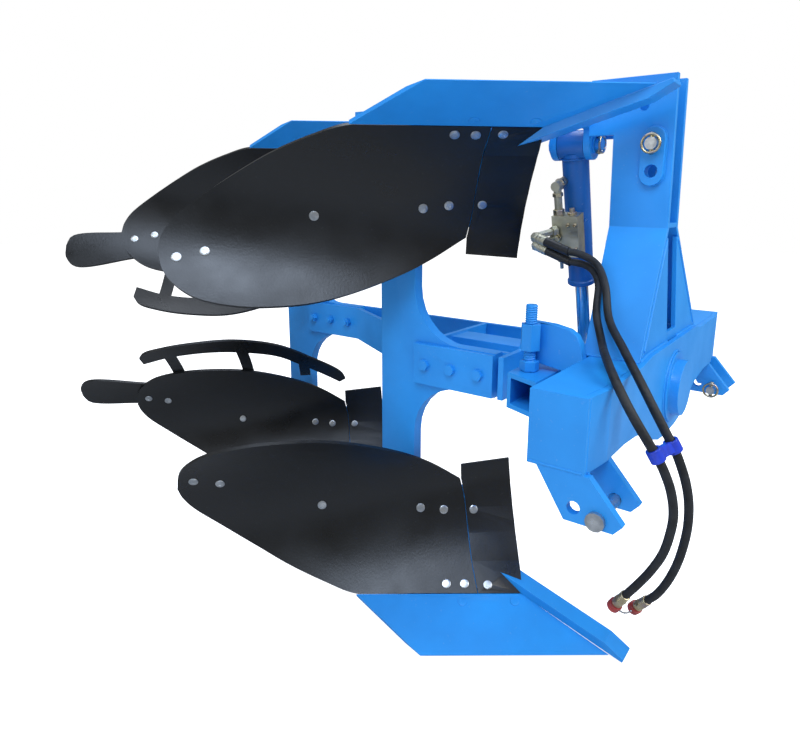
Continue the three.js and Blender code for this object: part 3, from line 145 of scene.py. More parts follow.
def sprayedEnamel(name, s):
    # Alkyd enamel sprayed on steel: an even colour, a soft orange peel a few millimetres across,
    # slightly uneven gloss where the spray was thin, and a little pale dust
    shader = {"IOR": 1.5, "Specular IOR Level": s["gloss"], "Coat Weight": s["coat"], "Coat Roughness": 0.12}
    material, tree, surface, coords = newMaterial(name, shader)
    sizes = (patternSizes["sprayPatch"], 4.0), (s["peel"], 2.0), (patternSizes["dustSpeck"], 5.0)
    broad, fine, grit = (
        addNode(tree, "ShaderNodeTexNoise", {"Scale": 1000 / size, "Detail": detail}, {"Vector": coords})
        for size, detail in sizes)
    tone = unevenSurface(tree, surface, broad, fine, s)
    specks = addNode(tree, "ShaderNodeMapRange", {**speckSpan, "To Min": 0, "To Max": 1}, {"Value": grit})
    faint = addNode(tree, "ShaderNodeMath", {"operation": "MULTIPLY", 1: s["dust"]}, {0: specks})
    dusty = addNode(tree, "ShaderNodeMix", {"data_type": "RGBA", 7: linear(dustColour)}, {0: faint, 6: tone})
    tree.links.new(dusty.outputs[2], surface.inputs["Base Color"])
    return material


def platedSteel(name, s):
    # Plated or bare bright metal: patches where its skin is thicker, and a fine grain
    material, tree, surface, coords = newMaterial(name, {"Metallic": 1.0})
    broad, grain = (
        addNode(tree, "ShaderNodeTexNoise", {"Scale": 1000 / size, "Detail": detail}, {"Vector": coords})
        for size, detail in ((s["patch"], 3.0), (patternSizes["plateGrain"], 2.0)))
    tree.links.new(unevenSurface(tree, surface, broad, grain, s), surface.inputs["Base Color"])
    return material


def mouldedPlastic(name, s):
    # Injection-moulded or dipped plastic: full colour, soft gloss and a faint texture
    material, tree, surface, coords = newMaterial(name, {"IOR": 1.48, "Coat Weight": 0.15})
    patches = {"Scale": 1000 / patternSizes["mouldedPatch"], "Detail": 3.0}
    broad = addNode(tree, "ShaderNodeTexNoise", patches, {"Vector": coords})
    tree.links.new(unevenSurface(tree, surface, broad, broad, s), surface.inputs["Base Color"])
    return material


def wrappedRubber(name, s):
    # Synthetic rubber hose cover, cured in a cloth wrap: matt, with the wrap's weave printed in it,
    # drawn as bands 9.5 mm apart along the hose because the real 1 mm weave is too fine to show
    material, tree, surface, coords = newMaterial(name, {"IOR": 1.45})
    uv = addNode(tree, "ShaderNodeUVMap", {"uv_map": "along"})
    bands = {"wave_type": "BANDS", "bands_direction": "DIAGONAL", "Scale": 1.0, "Distortion": 0.4}
    weave = addNode(tree, "ShaderNodeTexWave", bands, {"Vector": uv})
    patches = {"Scale": 1000 / patternSizes["hoseDust"], "Detail": 5.0}
    dust = addNode(tree, "ShaderNodeTexNoise", patches, {"Vector": coords})
    tone = unevenSurface(tree, surface, dust, weave.outputs[1], s)
    tree.links.new(tone, surface.inputs["Base Color"])
    return material


blueEnamel = sprayedEnamel("sprayed_blue_enamel", {
    "colours": (frameColour, "1F88D8"), "roughness": (0.36, 0.5), "gloss": 0.36, "coat": 0.05,
    "peel": 3.2, "bump": (0.25, 0.4), "dust": 0.12})
# The cylinder's paint: a darker blue than the frame, which also holds painted shade for its place inside the
# frame, away from the lamps
blueAndShadeEnamel = sprayedEnamel("cylinder_blue_and_painted_shade", {
    "colours": ("1B66B4", "175AA2"), "roughness": (0.3, 0.44), "gloss": 0.4, "coat": 0.05,
    "peel": 3.2, "bump": (0.25, 0.4), "dust": 0.1})
blackEnamel = sprayedEnamel("gloss_black_enamel", {
    "colours": ("06080A", "0A0D10"), "roughness": (0.27, 0.41), "gloss": 0.6, "coat": 0.0,
    "peel": 5.5, "bump": (0.25, 0.8), "dust": 0.03})
zincPlate = platedSteel("zinc_plated_steel", {
    "colours": ("D4D7D8", "AEB3B6"), "roughness": (0.26, 0.44), "patch": 16.67, "bump": (0.2, 0.2)})
yellowZinc = platedSteel("yellow_zinc_plated_steel", {
    "colours": ("D9CDA0", "B8A9A2"), "roughness": (0.22, 0.4), "patch": 25.0, "bump": (0.2, 0.2)})
blockZinc = platedSteel("zinc_plated_valve_block", {
    "colours": ("DAD8C6", "BDBBA6"), "roughness": (0.34, 0.52), "patch": 38.46, "bump": (0.2, 0.2)})
hardChrome = platedSteel("hard_chromed_rod", {
    "colours": ("DFE3E6", "CDD2D6"), "roughness": (0.04, 0.22), "patch": 50.0, "bump": (0.2, 0.2)})
turnedBronze = platedSteel("turned_bronze", {
    "colours": ("C79A55", "A87F42"), "roughness": (0.22, 0.4), "patch": 11.11, "bump": (0.2, 0.2)})
hoseRubber = wrappedRubber("wrapped_hose_rubber", {
    "colours": ("15171A", "24272B"), "roughness": (0.5, 0.66), "bump": (0.3, 0.3)})
sleeveRubber = mouldedPlastic("rubber_bend_sleeve", {
    "colours": ("17191C", "202327"), "roughness": (0.5, 0.63), "bump": (0.15, 0.2)})
clampBlue = mouldedPlastic("royal_blue_nylon", {
    "colours": ("1D3FC4", "1834A8"), "roughness": (0.29, 0.42), "bump": (0.15, 0.2)})
capRed = mouldedPlastic("red_dust_cap", {
    "colours": ("A23330", "812A29"), "roughness": (0.4, 0.53), "bump": (0.15, 0.2)})
print("materials made")


# Tools for surfaces

def meshPiece(name, vertices, faces, material, body, uv):
    # One object from arrays with a UV layer, smooth except at its sharp edges
    mesh = bpy.data.meshes.new(name)
    mesh.from_pydata(vertices.tolist(), [], [tuple(f) for f in faces])
    layer = mesh.uv_layers.new(name="along")
    loops = np.empty(len(mesh.loops), dtype=np.int32)
    mesh.loops.foreach_get("vertex_index", loops)
    layer.data.foreach_set("uv", uv.astype(np.float32)[loops].ravel())
    return finished(name, mesh, material, body)


def finished(name, mesh, material, body, bevel=0.0, angle=34.0):
    mesh.validate()
    mesh.polygons.foreach_set("use_smooth", np.ones(len(mesh.polygons), dtype=bool))
    mesh.set_sharp_from_angle(angle=math.radians(angle))
    mesh.materials.clear()
    mesh.materials.append(material)
    piece = bpy.data.objects.new(name, mesh)
    bpy.context.collection.objects.link(piece)
    if bevel:
        rounding = piece.modifiers.new("rounded edges", "BEVEL")
        rounding.width = bevel / 1000
        rounding.segments = 2
        rounding.limit_method = "ANGLE"
        rounding.angle_limit = math.radians(angle)
        rounding.harden_normals = True
    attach(piece, body)
    return piece


def outwards(mesh):
    # Recalculates the faces of a closed mesh so that they point out
    work = bmesh.new()
    work.from_mesh(mesh)
    bmesh.ops.remove_doubles(work, verts=work.verts, dist=1e-6)
    bmesh.ops.recalc_face_normals(work, faces=work.faces)
    work.to_mesh(mesh)
    work.free()


def gridFaces(rows, columns, start=0, closed=False):
    # Quads of a grid of points; closed joins the last column to the first
    wide = columns if closed else columns - 1
    i, j = np.meshgrid(np.arange(rows - 1), np.arange(wide), indexing="ij")
    k = (j + 1) % columns
    here = i * columns
    above = here + columns
    return (np.stack([here + j, here + k, above + k, above + j], axis=-1).reshape(-1, 4) + start).tolist()


def basisFor(axis):
    # Two directions square to an axis and to each other, and the axis itself, all of length one
    axis = np.asarray(axis, dtype=float) / np.linalg.norm(axis)
    helper = np.array([0, 0, 1.0]) if abs(axis[2]) < 0.9 else np.array([1.0, 0, 0])
    one = np.cross(helper, axis)
    one /= np.linalg.norm(one)
    return one, np.cross(axis, one), axis


def lathed(origin, axis, profile, sides=28, corners=0):
    # A profile of (distance, radius) turned round an axis: point = origin + d*axis + r*(cos, sin).
    # With corners, the round becomes a polygon: r is multiplied by cos(half a step) / cos(angle from the
    # flat's middle), so its corners keep the radius
    one, two, way = basisFor(axis)
    profile = np.asarray(profile, dtype=float)
    turn = np.linspace(0, 2 * np.pi, sides, endpoint=False)
    reach = np.ones(sides)
    if corners:
        step = 2 * np.pi / corners
        reach = np.cos(step / 2) / np.cos(np.mod(turn, step) - step / 2)
    rim = np.cos(turn)[:, None] * one + np.sin(turn)[:, None] * two
    points = (np.asarray(origin, dtype=float) + profile[:, None, :1] * way
              + profile[:, None, 1:] * reach[None, :, None] * rim[None])
    count = len(profile)
    return points.reshape(-1, 3), gridFaces(count, sides, closed=True) + endFaces(count, sides)


def endFaces(rows, sides):
    # The two ends of a closed grid of rings
    last = (rows - 1) * sides
    return [list(range(sides))[::-1], [last + k for k in range(sides)]]


def tubeAlong(path, radius, sides=16, ripple=None):
    # A round section carried along a path: point = path + r*(cos*one + sin*two), both square to the path.
    # Ripple gives a share of the radius at each point of the path
    path = np.asarray(path, dtype=float)
    way = np.gradient(path, axis=0)
    way /= np.linalg.norm(way, axis=1)[:, None]
    helper = np.array([0.31, 0.57, 0.76])  # a direction that no path here runs in
    one = np.cross(way, helper)
    one /= np.linalg.norm(one, axis=1)[:, None]
    two = np.cross(way, one)
    turn = np.linspace(0, 2 * np.pi, sides, endpoint=False)
    reach = np.full(len(path), float(radius)) if ripple is None else radius * ripple
    rim = np.cos(turn)[None, :, None] * one[:, None, :] + np.sin(turn)[None, :, None] * two[:, None, :]
    ringPoints = path[:, None, :] + reach[:, None, None] * rim
    return ringPoints.reshape(-1, 3), gridFaces(len(path), sides, closed=True) + endFaces(len(path), sides)


def alongOf(path):
    # The length run at each point of a path, from its start
    return np.concatenate([[0], np.cumsum(np.linalg.norm(np.diff(path, axis=0), axis=1))])


def gathered(name, parts, material, body, bevel=0.0, angle=34.0):
    # Several arrays of points and faces, in millimetres from the axis, as one object
    points = []
    faces = []
    start = 0
    for vertices, quads in parts:
        points.append(np.asarray(vertices, dtype=float))
        faces += [[k + start for k in face] for face in quads]
        start += len(vertices)
    mesh = bpy.data.meshes.new(name)
    mesh.from_pydata(place(np.concatenate(points)).tolist(), [], faces)
    outwards(mesh)
    return finished(name, mesh, material, body, bevel, angle)


def curveOf(points, count):
    # A smooth curve through points (centripetal Catmull-Rom), with even steps along its length
    p = np.asarray(points, dtype=float)
    p = np.concatenate([[2 * p[0] - p[1]], p, [2 * p[-1] - p[-2]]])
    knots = np.concatenate([[0], np.cumsum(np.linalg.norm(np.diff(p, axis=0), axis=1) ** 0.5)])
    t = np.linspace(knots[1], knots[-2], 40 * len(p))
    i = np.clip(np.searchsorted(knots, t, side="right") - 1, 1, len(p) - 3)
    k0, k1, k2, k3 = (knots[i + o][:, None] for o in (-1, 0, 1, 2))
    q0, q1, q2, q3 = (p[i + o] for o in (-1, 0, 1, 2))
    t = t[:, None]
    a1 = (k1 - t) / (k1 - k0) * q0 + (t - k0) / (k1 - k0) * q1
    a2 = (k2 - t) / (k2 - k1) * q1 + (t - k1) / (k2 - k1) * q2
    a3 = (k3 - t) / (k3 - k2) * q2 + (t - k2) / (k3 - k2) * q3
    b1 = (k2 - t) / (k2 - k0) * a1 + (t - k0) / (k2 - k0) * a2
    b2 = (k3 - t) / (k3 - k1) * a2 + (t - k1) / (k3 - k1) * a3
    fine = (k2 - t) / (k2 - k1) * b1 + (t - k1) / (k2 - k1) * b2
    return evenly(fine, count)[0]


def evenly(path, count):
    # Points at even steps along a path, and how far along each one lies
    run = alongOf(path)
    want = np.linspace(0, run[-1], count)
    return np.stack([np.interp(want, run, path[:, k]) for k in range(path.shape[1])], axis=1), want


# Hoses, as they hang from the valve block over the mast and beam to the tractor's side
hoses = {
    "radius": 0.00775, "sides": 20, "rows": 240,
    "weave": 0.0095,  # between the weave's bands, along the hose, metres
    "pressure": [
        (-191.2, -104.4, 285.7), (-178, -105.3, 284.5), (-153.4, -109.4, 278.9), (-120.3, -123.8, 264),
        (-89.6, -155.6, 228.5), (-62, -200, 170.3), (-5.3, -275.5, 129.9), (46.8, -343.3, 95.9),
        (78.4, -361.5, 57.6), (102.1, -364.9, 22), (113.8, -364.8, 3.9), (124.6, -360.1, -21),
        (136, -352, -57), (142, -340, -97), (142, -325, -145), (136, -310, -193), (125.5, -297, -243),
        (109, -285, -292), (91, -275, -329), (75, -268, -351),
    ],
    "return": [
        (-191.2, -93.5, 263.5), (-175.6, -94.9, 262.6), (-153.8, -100.7, 259), (-131.3, -113.7, 250),
        (-108.7, -140.9, 228.2), (-92.2, -187.1, 176), (-58.3, -240.3, 128.4), (-18.9, -327.5, 122.7),
        (27.9, -408, 104.2), (60, -430.6, 69.7), (89.5, -427, 25.3), (102, -418, 2), (114, -410, -24),
        (125, -400, -59), (130, -388, -103), (125, -375, -146.5), (114, -362, -192.5), (95, -350, -237),
        (73, -338, -278), (50, -328, -316),
    ],
}


def makeHose(word, s):
    path = place(curveOf(s[word], s["rows"]))
    points, faces = tubeAlong(path, s["radius"], s["sides"])
    run = alongOf(path)
    facet = 2 * math.pi * s["radius"] / s["sides"]
    u = np.repeat(run, s["sides"])
    v = np.tile(np.arange(s["sides"]), len(path)) * facet
    weave = np.stack([u, v], axis=1) / s["weave"] * 2 * math.pi / 10  # its bands repeat every 2 pi / 10
    hose = meshPiece(f"{word}HoseRun", points, faces, hoseRubber, "headstock", uv=weave)
    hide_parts(f"{word}_hose")
    return hose, path, float(run[-1])


hoseRuns = {word: makeHose(word, hoses) for word in ("pressure", "return")}
print("hoses laid", [round(run[2], 3) for run in hoseRuns.values()])


# What each CAD piece is finished in, and how far its cut edges are rounded (millimetres)
finishes = {
    "zinc": ["top_link_pin", "lower_link_pin_right", "lower_link_pin_left", "turnover_shaft", "shaft_nut"],
    "chrome": ["cylinder_rod"],
    "block": ["valve_block"],
    # The barrel and gland take the darker blue with its painted shade
    "blueAndPaintedShade": ["cylinder_barrel", "cylinder_gland"],
    "bronze": ["bearing_bush"],
    "black": [f"shin_{b}" for b in ("front_upper", "front_lower", "rear_upper", "rear_lower")],
}
finishMaterials = {
    "zinc": zincPlate, "chrome": hardChrome, "block": blockZinc, "bronze": turnedBronze,
    "blueAndPaintedShade": blueAndShadeEnamel, "black": blackEnamel,
}
edgeRounding = {
    "cylinder_rod": 0.8, "valve_block": 1.2, "bearing_bush": 0.5, "bearing_cap": 2.5, "mast_plate_right": 2.0,
    "mast_plate_left": 2.0, "leg_front": 2.0, "leg_rear": 2.0, "cross_beam": 1.5, "usual": 1.5,
}
# CAD pieces that are drawn anew, not eased
remade = [
    "pressure_hose", "return_hose", "hose_clamp", "pressure_coupler", "return_coupler", "stop_screw_right",
    "stop_screw_left", "trash_bar_rear_upper", "trash_bar_rear_lower",
]
remade += [f"mouldboard_{b}" for b in ("front_upper", "front_lower", "rear_upper", "rear_lower")]
nodeBody = {node: body for body, nodes in frame["record"]["behaviour"]["bodies"].items() for node in nodes}
easing = {"weld": 2e-5, "flatWithin": 0.6}  # metres between points joined, degrees between facets joined
# The cross beam's tube has rolled corners: the long edges sharper than this angle (radians) that reach
# this far (millimetres) behind the turnover axis's origin
beamRounding = {"radius": 9.0, "shortest": 300.0, "segments": 4, "sharper": 1.2, "behind": 80.0}


def easedNode(name, material, width):
    # A merged copy of a CAD piece with its flat facets joined and its cut edges rounded
    source = frame["nodes"][name]
    work = bmesh.new()
    work.from_mesh(source.data)
    bmesh.ops.remove_doubles(work, verts=work.verts, dist=easing["weld"])
    bmesh.ops.dissolve_limit(work, angle_limit=math.radians(easing["flatWithin"]), verts=work.verts,
                             edges=work.edges)
    if name == "cross_beam":
        roundBeam(work, beamRounding)
    mesh = bpy.data.meshes.new(name + "_eased")
    work.to_mesh(mesh)
    work.free()
    piece = finished(name + "_eased", mesh, material, nodeBody[name], width)
    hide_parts(name)
    return piece


def roundBeam(work, s):
    rearmost = turnoverAxis[0] - s["behind"] / 1000
    long = [e for e in work.edges if e.calc_length() * 1000 > s["shortest"] and len(e.link_faces) == 2
            and e.calc_face_angle(0) > s["sharper"] and e.is_convex
            and min(v.co.x for v in e.verts) < rearmost]
    bmesh.ops.bevel(work, geom=long, offset=s["radius"] / 1000, offset_type="OFFSET", segments=s["segments"],
                    profile=0.5, affect="EDGES", clamp_overlap=True)


for nodeName in frame["nodes"]:
    if nodeName not in remade:
        kind = next((k for k, names in finishes.items() if nodeName in names), None)
        width = edgeRounding.get(nodeName, edgeRounding["usual"])
        easedNode(nodeName, finishMaterials.get(kind, blueEnamel), width)
print("plates and bars eased")


# Mouldboards: curved steel sheets that rise from the share's seam and turn over towards their tails
boardForm = {
    "shareAngle": 36.0, "ground": 612.0, "seamLift": 72.0, "seamAcross": -30.0, "steep": 1.08, "curl": 475.0,
    "twist": 0.17, "twistDepth": 275.0, "twistFrom": -430.0, "seam": -390.0, "length": 714.0, "height": 380.0,
    "rimLift": 73.0, "thick": 8.0, "gap": 0.3, "back": 664.0, "across": 286.0,
}
boardBack = -boardForm["thick"]
behindBoard = (boardBack - boardForm["gap"], boardBack - boardForm["gap"] - boardForm["thick"])
cornersOf = {"front_upper": (0, 1), "front_lower": (0, -1), "rear_upper": (1, 1), "rear_lower": (1, -1)}
seamLine = [(0, 0), (0.017, 0.145), (0.039, 0.497), (0.053, 0.618)]
topLine = [(0.053, 0.618), (0.176, 0.761), (0.268, 0.842), (0.42, 0.94), (0.53, 0.985), (0.644, 1),
           (0.752, 0.992), (0.868, 0.947), (0.941, 0.871), (0.98, 0.792), (1, 0.674)]
bottomLine = [(0, 0), (0.2, 0.0005), (0.41, 0.003), (0.517, 0.055), (0.643, 0.142), (0.751, 0.245),
              (0.857, 0.366), (0.959, 0.513), (0.992, 0.605), (1, 0.674)]


def onSheet(along, depth, offset, where):
    # A point of the board: over = -30 - 1.08h + h^2/475 - 0.17 (h/275)(along + 430), with h the rise
    # above the share's seam, moved out along the surface's normal, and turned by the share's angle
    f = boardForm
    rise = f["ground"] - f["seamLift"] - depth
    over = (f["seamAcross"] - f["steep"] * rise + rise ** 2 / f["curl"]
            - f["twist"] * rise / f["twistDepth"] * (along - f["twistFrom"]))
    slopeAlong = -f["twist"] * rise / f["twistDepth"]
    slopeDepth = f["steep"] - 2 * rise / f["curl"] + f["twist"] * (along - f["twistFrom"]) / f["twistDepth"]
    size = np.sqrt(slopeAlong ** 2 + 1 + slopeDepth ** 2)
    out = offset / size
    return onPlough(along - out * slopeAlong, over + out, depth - out * slopeDepth, where)


def onPlough(along, over, depth, where):
    # Turns along and over by the share's angle, carries the rear bodies back, and mirrors the lower ones
    rear, side = cornersOf[where]
    c = math.cos(math.radians(boardForm["shareAngle"]))
    s = math.sin(math.radians(boardForm["shareAngle"]))
    x = along * c + over * s - rear * boardForm["back"]
    y = along * s - over * c + rear * boardForm["across"]
    return np.stack([x, y, side * depth], axis=-1)


def sheetBetween(lower, upper, face, back, where, rows=16):
    # A closed sheet of the board's form between two edges with as many points each, in (along, depth):
    # (1 - v) lower + v upper, set on the form at both offsets, face and back
    lower = np.asarray(lower, dtype=float)
    upper = np.asarray(upper, dtype=float)
    v = np.linspace(0, 1, rows)[:, None, None]
    flat = (1 - v) * lower[None] + v * upper[None]
    layers = [onSheet(flat[..., 0], flat[..., 1], offset, where).reshape(-1, 3) for offset in (face, back)]
    columns = len(lower)
    count = rows * columns
    faces = gridFaces(rows, columns) + [q[::-1] for q in gridFaces(rows, columns, start=count)]
    rim = ([k for k in range(columns)] + [r * columns + columns - 1 for r in range(1, rows)]
           + [(rows - 1) * columns + k for k in range(columns - 2, -1, -1)]
           + [r * columns for r in range(rows - 2, 0, -1)])
    faces += [[a, b, b + count, a + count] for a, b in zip(rim, rim[1:] + rim[:1])]
    return np.concatenate(layers), faces


def boardEdges(lines, counts):
    # Edge curves from shares of the board's length and height, as (along, depth)
    f = boardForm
    parts = [curveOf(line, n) for line, n in zip(lines, counts)]
    edge = np.concatenate([parts[0]] + [p[1:] for p in parts[1:]])
    depth = np.minimum(f["ground"] - f["seamLift"] - edge[:, 1] * f["height"], f["ground"] - f["rimLift"])
    return np.stack([f["seam"] - edge[:, 0] * f["length"], depth], axis=1)


# The tail strip is bolted behind each rear board; its edges are shares of its length and height
tailStrip = {
    "front": -985.0, "length": 273.0, "depth": 190.0, "height": 100.0, "points": 30,
    "near": [(0, 0.35), (0.33, 0.18), (0.842, 0), (0.97, 0.25), (1, 0.57)],
    "far": [(0, 0.35), (0.055, 1), (0.432, 0.96), (0.963, 0.84), (1, 0.57)],
}
# The seam's 14 points and the top's 107 share one, so both edges have 120
boardUpper = boardEdges([seamLine, topLine], [14, 107])
boardLower = boardEdges([bottomLine], [120])


def tailEdge(side, t):
    line = [(t["front"] - share * t["length"], t["depth"] + rise * t["height"]) for share, rise in t[side]]
    return curveOf(line, t["points"])


for where in cornersOf:
    parts = [sheetBetween(boardLower, boardUpper, 0.0, boardBack, where)]
    if where.startswith("rear"):
        near, far = (tailEdge(side, tailStrip) for side in ("near", "far"))
        parts.append(sheetBetween(near, far, *behindBoard, where, rows=8))
    board = gathered(f"mouldboard_{where}_sheet", parts, blackEnamel, "turnover_frame", bevel=1.4, angle=50)
    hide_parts(f"mouldboard_{where}")
print("mouldboards bent")


# Trash bars over the rear bodies: a bowed strip on three posts, in shares of its length and height
trashBar = {
    "rear": -1030.0, "length": 608.0, "depth": 50.0, "height": 190.0, "postHalf": 17.0, "postDepth": 205.0,
    "points": 60, "postPoints": 12, "postExtra": 0.1,
    "outer": [(0, 0.29), (0.035, 0.19), (0.13, 0.1), (0.271, 0.026), (0.472, 0), (0.666, 0.147),
              (0.816, 0.437), (0.98, 0.79), (1, 0.92)],
    "inner": [(0, 0.416), (0.15, 0.289), (0.344, 0.232), (0.497, 0.274), (0.65, 0.389), (0.763, 0.595),
              (0.965, 0.98)],
    "posts": [(0.14, 0.2), (0.485, 0.1), (0.78, 0.45)],
}


def trashBarParts(s, where):
    def at(point):
        return s["rear"] + point[0] * s["length"], s["depth"] + point[1] * s["height"]

    face, back = behindBoard
    inner, outer = (curveOf([at(p) for p in s[edge]], s["points"]) for edge in ("inner", "outer"))
    parts = [sheetBetween(inner, outer, face, back, where, rows=4)]
    for post in s["posts"]:
        along, top = at(post)
        deep = np.linspace(top, s["postDepth"], s["postPoints"])
        sides = [np.stack([np.full_like(deep, along + half), deep], axis=1)
                 for half in (-s["postHalf"], s["postHalf"])]
        parts.append(sheetBetween(*sides, face + s["postExtra"], back - s["postExtra"], where, rows=4))
    return parts


for where in ("rear_upper", "rear_lower"):
    strips = trashBarParts(trashBar, where)
    guard = gathered(f"trash_bar_{where}_strip", strips, blackEnamel, "turnover_frame", bevel=1.2, angle=50)
    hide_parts(f"trash_bar_{where}")
print("trash bars bent")


# Plough bolts: countersunk heads with a turned face, nearly flush in the boards, shins and shares.
# Those in the shares are painted with them. Places are (along, depth), and (along, over) on a share.
ploughBolts = {
    "radius": 11.0, "proud": 1.7, "sides": 24,
    "board": [(-529, 372), (-470, 379), (-465, 524), (-421, 524), (-774, 353)],
    "shin": [(-393, 382), (-364, 526)],
    "tail": [(-1064, 263), (-1007, 275)],
    "share": [(-428, -12), (-302, -12)],
    "headProfile": [(-2.5, 1.0), (0.3, 1.0), (0.75, 0.96), (1.0, 0.86), (1.0, 0.42), (0.8, 0.4), (0.8, 0.05)],
}
shareForm = {"edgeLift": 8.0, "edgeAcross": 100.0}


def onShare(along, over, offset, where):
    # The share is a plane that falls evenly from its seam with the board to its edge
    f = boardForm
    run = shareForm["edgeAcross"] - f["seamAcross"]
    drop = f["seamLift"] - shareForm["edgeLift"]
    size = math.hypot(run, drop)
    depth = f["ground"] - shareForm["edgeLift"] - (shareForm["edgeAcross"] - over) * drop / run
    return onPlough(np.float64(along), over + offset * drop / size, depth - offset * run / size, where)


def boltHead(face, out, s):
    profile = [(d * s["proud"], r * s["radius"]) for d, r in s["headProfile"]]
    return lathed(face, out, profile, s["sides"])


for where in cornersOf:
    heads = []
    painted = []
    for along, depth in ploughBolts["board"] + ploughBolts["shin"] + ploughBolts["tail"]:
        face, out = (onSheet(np.float64(along), np.float64(depth), o, where) for o in (0.0, 1.0))
        heads.append(boltHead(face, out - face, ploughBolts))
    for along, over in ploughBolts["share"]:
        face, out = (onShare(along, over, o, where) for o in (0.0, 1.0))
        painted.append(boltHead(face, out - face, ploughBolts))
    bolts = gathered(f"plough_bolts_{where}", heads, zincPlate, "turnover_frame")
    shareBolts = gathered(f"share_bolts_{where}", painted, blueEnamel, "turnover_frame")
print("plough bolts set")


# Couplers on the hoses' ends: crimped ferrule, six-sided nut and body, and a red dust cap
couplers = {
    "ferrule": [(0.0, 8.4), (0.6, 9.6), (3.5, 9.6), (4.2, 8.9), (5.4, 8.9), (6.1, 9.6), (9.0, 9.6),
                (9.7, 8.9), (10.9, 8.9), (11.6, 9.6), (15.6, 9.6), (16.2, 8.6)],
    "nut": [(15.5, 8.0), (15.5, 10.6), (16.3, 11.4), (24.5, 11.4), (25.3, 10.6), (25.3, 8.0)],
    "body": [(25.0, 8.6), (25.0, 9.6), (28.0, 9.6), (28.8, 8.8), (31.4, 8.8), (32.2, 9.6), (36.4, 9.6),
             (36.4, 7.0)],
    "cap": [(34.6, 9.9), (34.6, 12.2), (35.4, 12.9), (38.2, 12.9), (38.8, 12.3), (41.5, 12.3), (42.2, 12.9),
            (48.8, 12.5), (50.0, 11.2), (50.2, 0.5)],
}


def hosePath(word):
    # A hose's path in millimetres from the turnover axis
    return (hoseRuns[word][1] - turnoverAxis) * 1000


def makeCoupler(word, s):
    path = hosePath(word)
    end = path[-1]
    way = path[-1] - path[-3]
    nut = lathed(end, way, s["nut"], 36, corners=6)
    turned = [lathed(end, way, s["ferrule"]), nut, lathed(end, way, s["body"])]
    metal = gathered(f"{word}Coupling", turned, yellowZinc, "headstock", bevel=0.3)
    dust = gathered(f"{word}DustCap", [lathed(end, way, s["cap"])], capRed, "headstock", bevel=0.4)
    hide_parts(f"{word}_coupler")
    return metal, dust


couplerPieces = {word: makeCoupler(word, couplers) for word in hoseRuns}


# The chain that ties the two dust caps together: its links are drawn as ripples in one strand
chainForm = {"radius": 2.1, "sag": 15.0, "along": 41.0, "links": 13, "depth": 0.5, "steps": 105, "sides": 8}


def makeChain(s):
    # A parabola between the caps, sag 4 t (1 - t), with radius r (1 - d |cos(pi links t)|)
    ends = []
    for word in hoseRuns:
        path = hosePath(word)
        way = path[-1] - path[-3]
        ends.append(path[-1] + way / np.linalg.norm(way) * s["along"])
    t = np.linspace(0, 1, s["steps"])
    strand = np.outer(1 - t, ends[0]) + np.outer(t, ends[1])
    strand[:, 2] -= 4 * s["sag"] * t * (1 - t)
    ripple = 1 - s["depth"] * np.abs(np.cos(np.pi * s["links"] * t))
    links = tubeAlong(strand, s["radius"], s["sides"], ripple)
    chain = gathered("dustCapChain", [links], zincPlate, "headstock")
    return chain


capChain = makeChain(chainForm)


# The clamp that holds the hoses together: two nylon rings with a bridge, and its screw
clampForm = {
    "width": 22.0, "wall": 4.4, "clear": 0.6, "chamfer": 0.8, "sides": 36, "screwSides": 24,
    "bridgeHalf": 6.5, "bridgeInset": 1.5, "bridgeInto": 1.0, "screwOut": 6.2,
    "screw": [(-1.0, 1.0), (-1.0, 4.6), (2.2, 4.6), (3.0, 3.8), (3.0, 2.2), (1.0, 2.0), (1.0, 0.2)],
    "places": {"pressure": 10, "return": 11},
}


def makeClamp(s):
    held = []
    for word, index in s["places"].items():
        path = hosePath(word)
        k = int(np.argmin(np.linalg.norm(path - np.array(hoses[word][index]), axis=1)))
        held.append((path[k], path[k + 2] - path[k - 2]))
    (a, downA), (b, downB) = held
    down = downA / np.linalg.norm(downA) + downB / np.linalg.norm(downB)
    down /= np.linalg.norm(down)
    side = (b - a) / np.linalg.norm(b - a)
    out = np.cross(side, down)
    out /= np.linalg.norm(out)
    inner = hoses["radius"] * 1000 + s["clear"]
    outer = inner + s["wall"]
    half = s["width"] / 2
    cut = s["chamfer"]
    ringShape = [(-half, inner), (-half, outer - cut), (-half + cut, outer), (half - cut, outer),
                 (half, outer - cut), (half, inner)]
    sides = s["sides"]
    last = (len(ringShape) - 1) * sides
    bore = [[k, (k + 1) % sides, last + (k + 1) % sides, last + k] for k in range(sides)]
    parts = []
    for centre in (a, b):
        points, faces = lathed(centre, down, ringShape, sides)
        parts.append((points, faces[:-2] + bore))
    middle = (a + b) / 2
    reach = np.linalg.norm(b - a) / 2 - inner + s["bridgeInto"]
    wide, tall = s["bridgeHalf"], half - s["bridgeInset"]
    corners = [middle + side * u + out * v + down * w for u in (-reach, reach)
               for v, w in ((-wide, -tall), (wide, -tall), (wide, tall), (-wide, tall))]
    boxFaces = [[0, 3, 2, 1], [4, 5, 6, 7], [0, 1, 5, 4], [1, 2, 6, 5], [2, 3, 7, 6], [3, 0, 4, 7]]
    parts.append((np.array(corners), boxFaces))
    clamp = gathered("hoseClampHalves", parts, clampBlue, "headstock", bevel=0.6)
    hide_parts("hose_clamp")
    head = lathed(middle - out * s["screwOut"], -out, s["screw"], s["screwSides"])
    screw = gathered("hoseClampScrew", [head], zincPlate, "headstock")
    return clamp, screw


clampPieces = makeClamp(clampForm)
print("couplers and clamp fitted")


# Weld beads: a rippled fillet along each joint, painted over with the frame
beadForm = {"ripple": 5.0, "depth": 0.16, "step": 1.4, "sides": 8, "ends": 0.45, "shortest": 3}


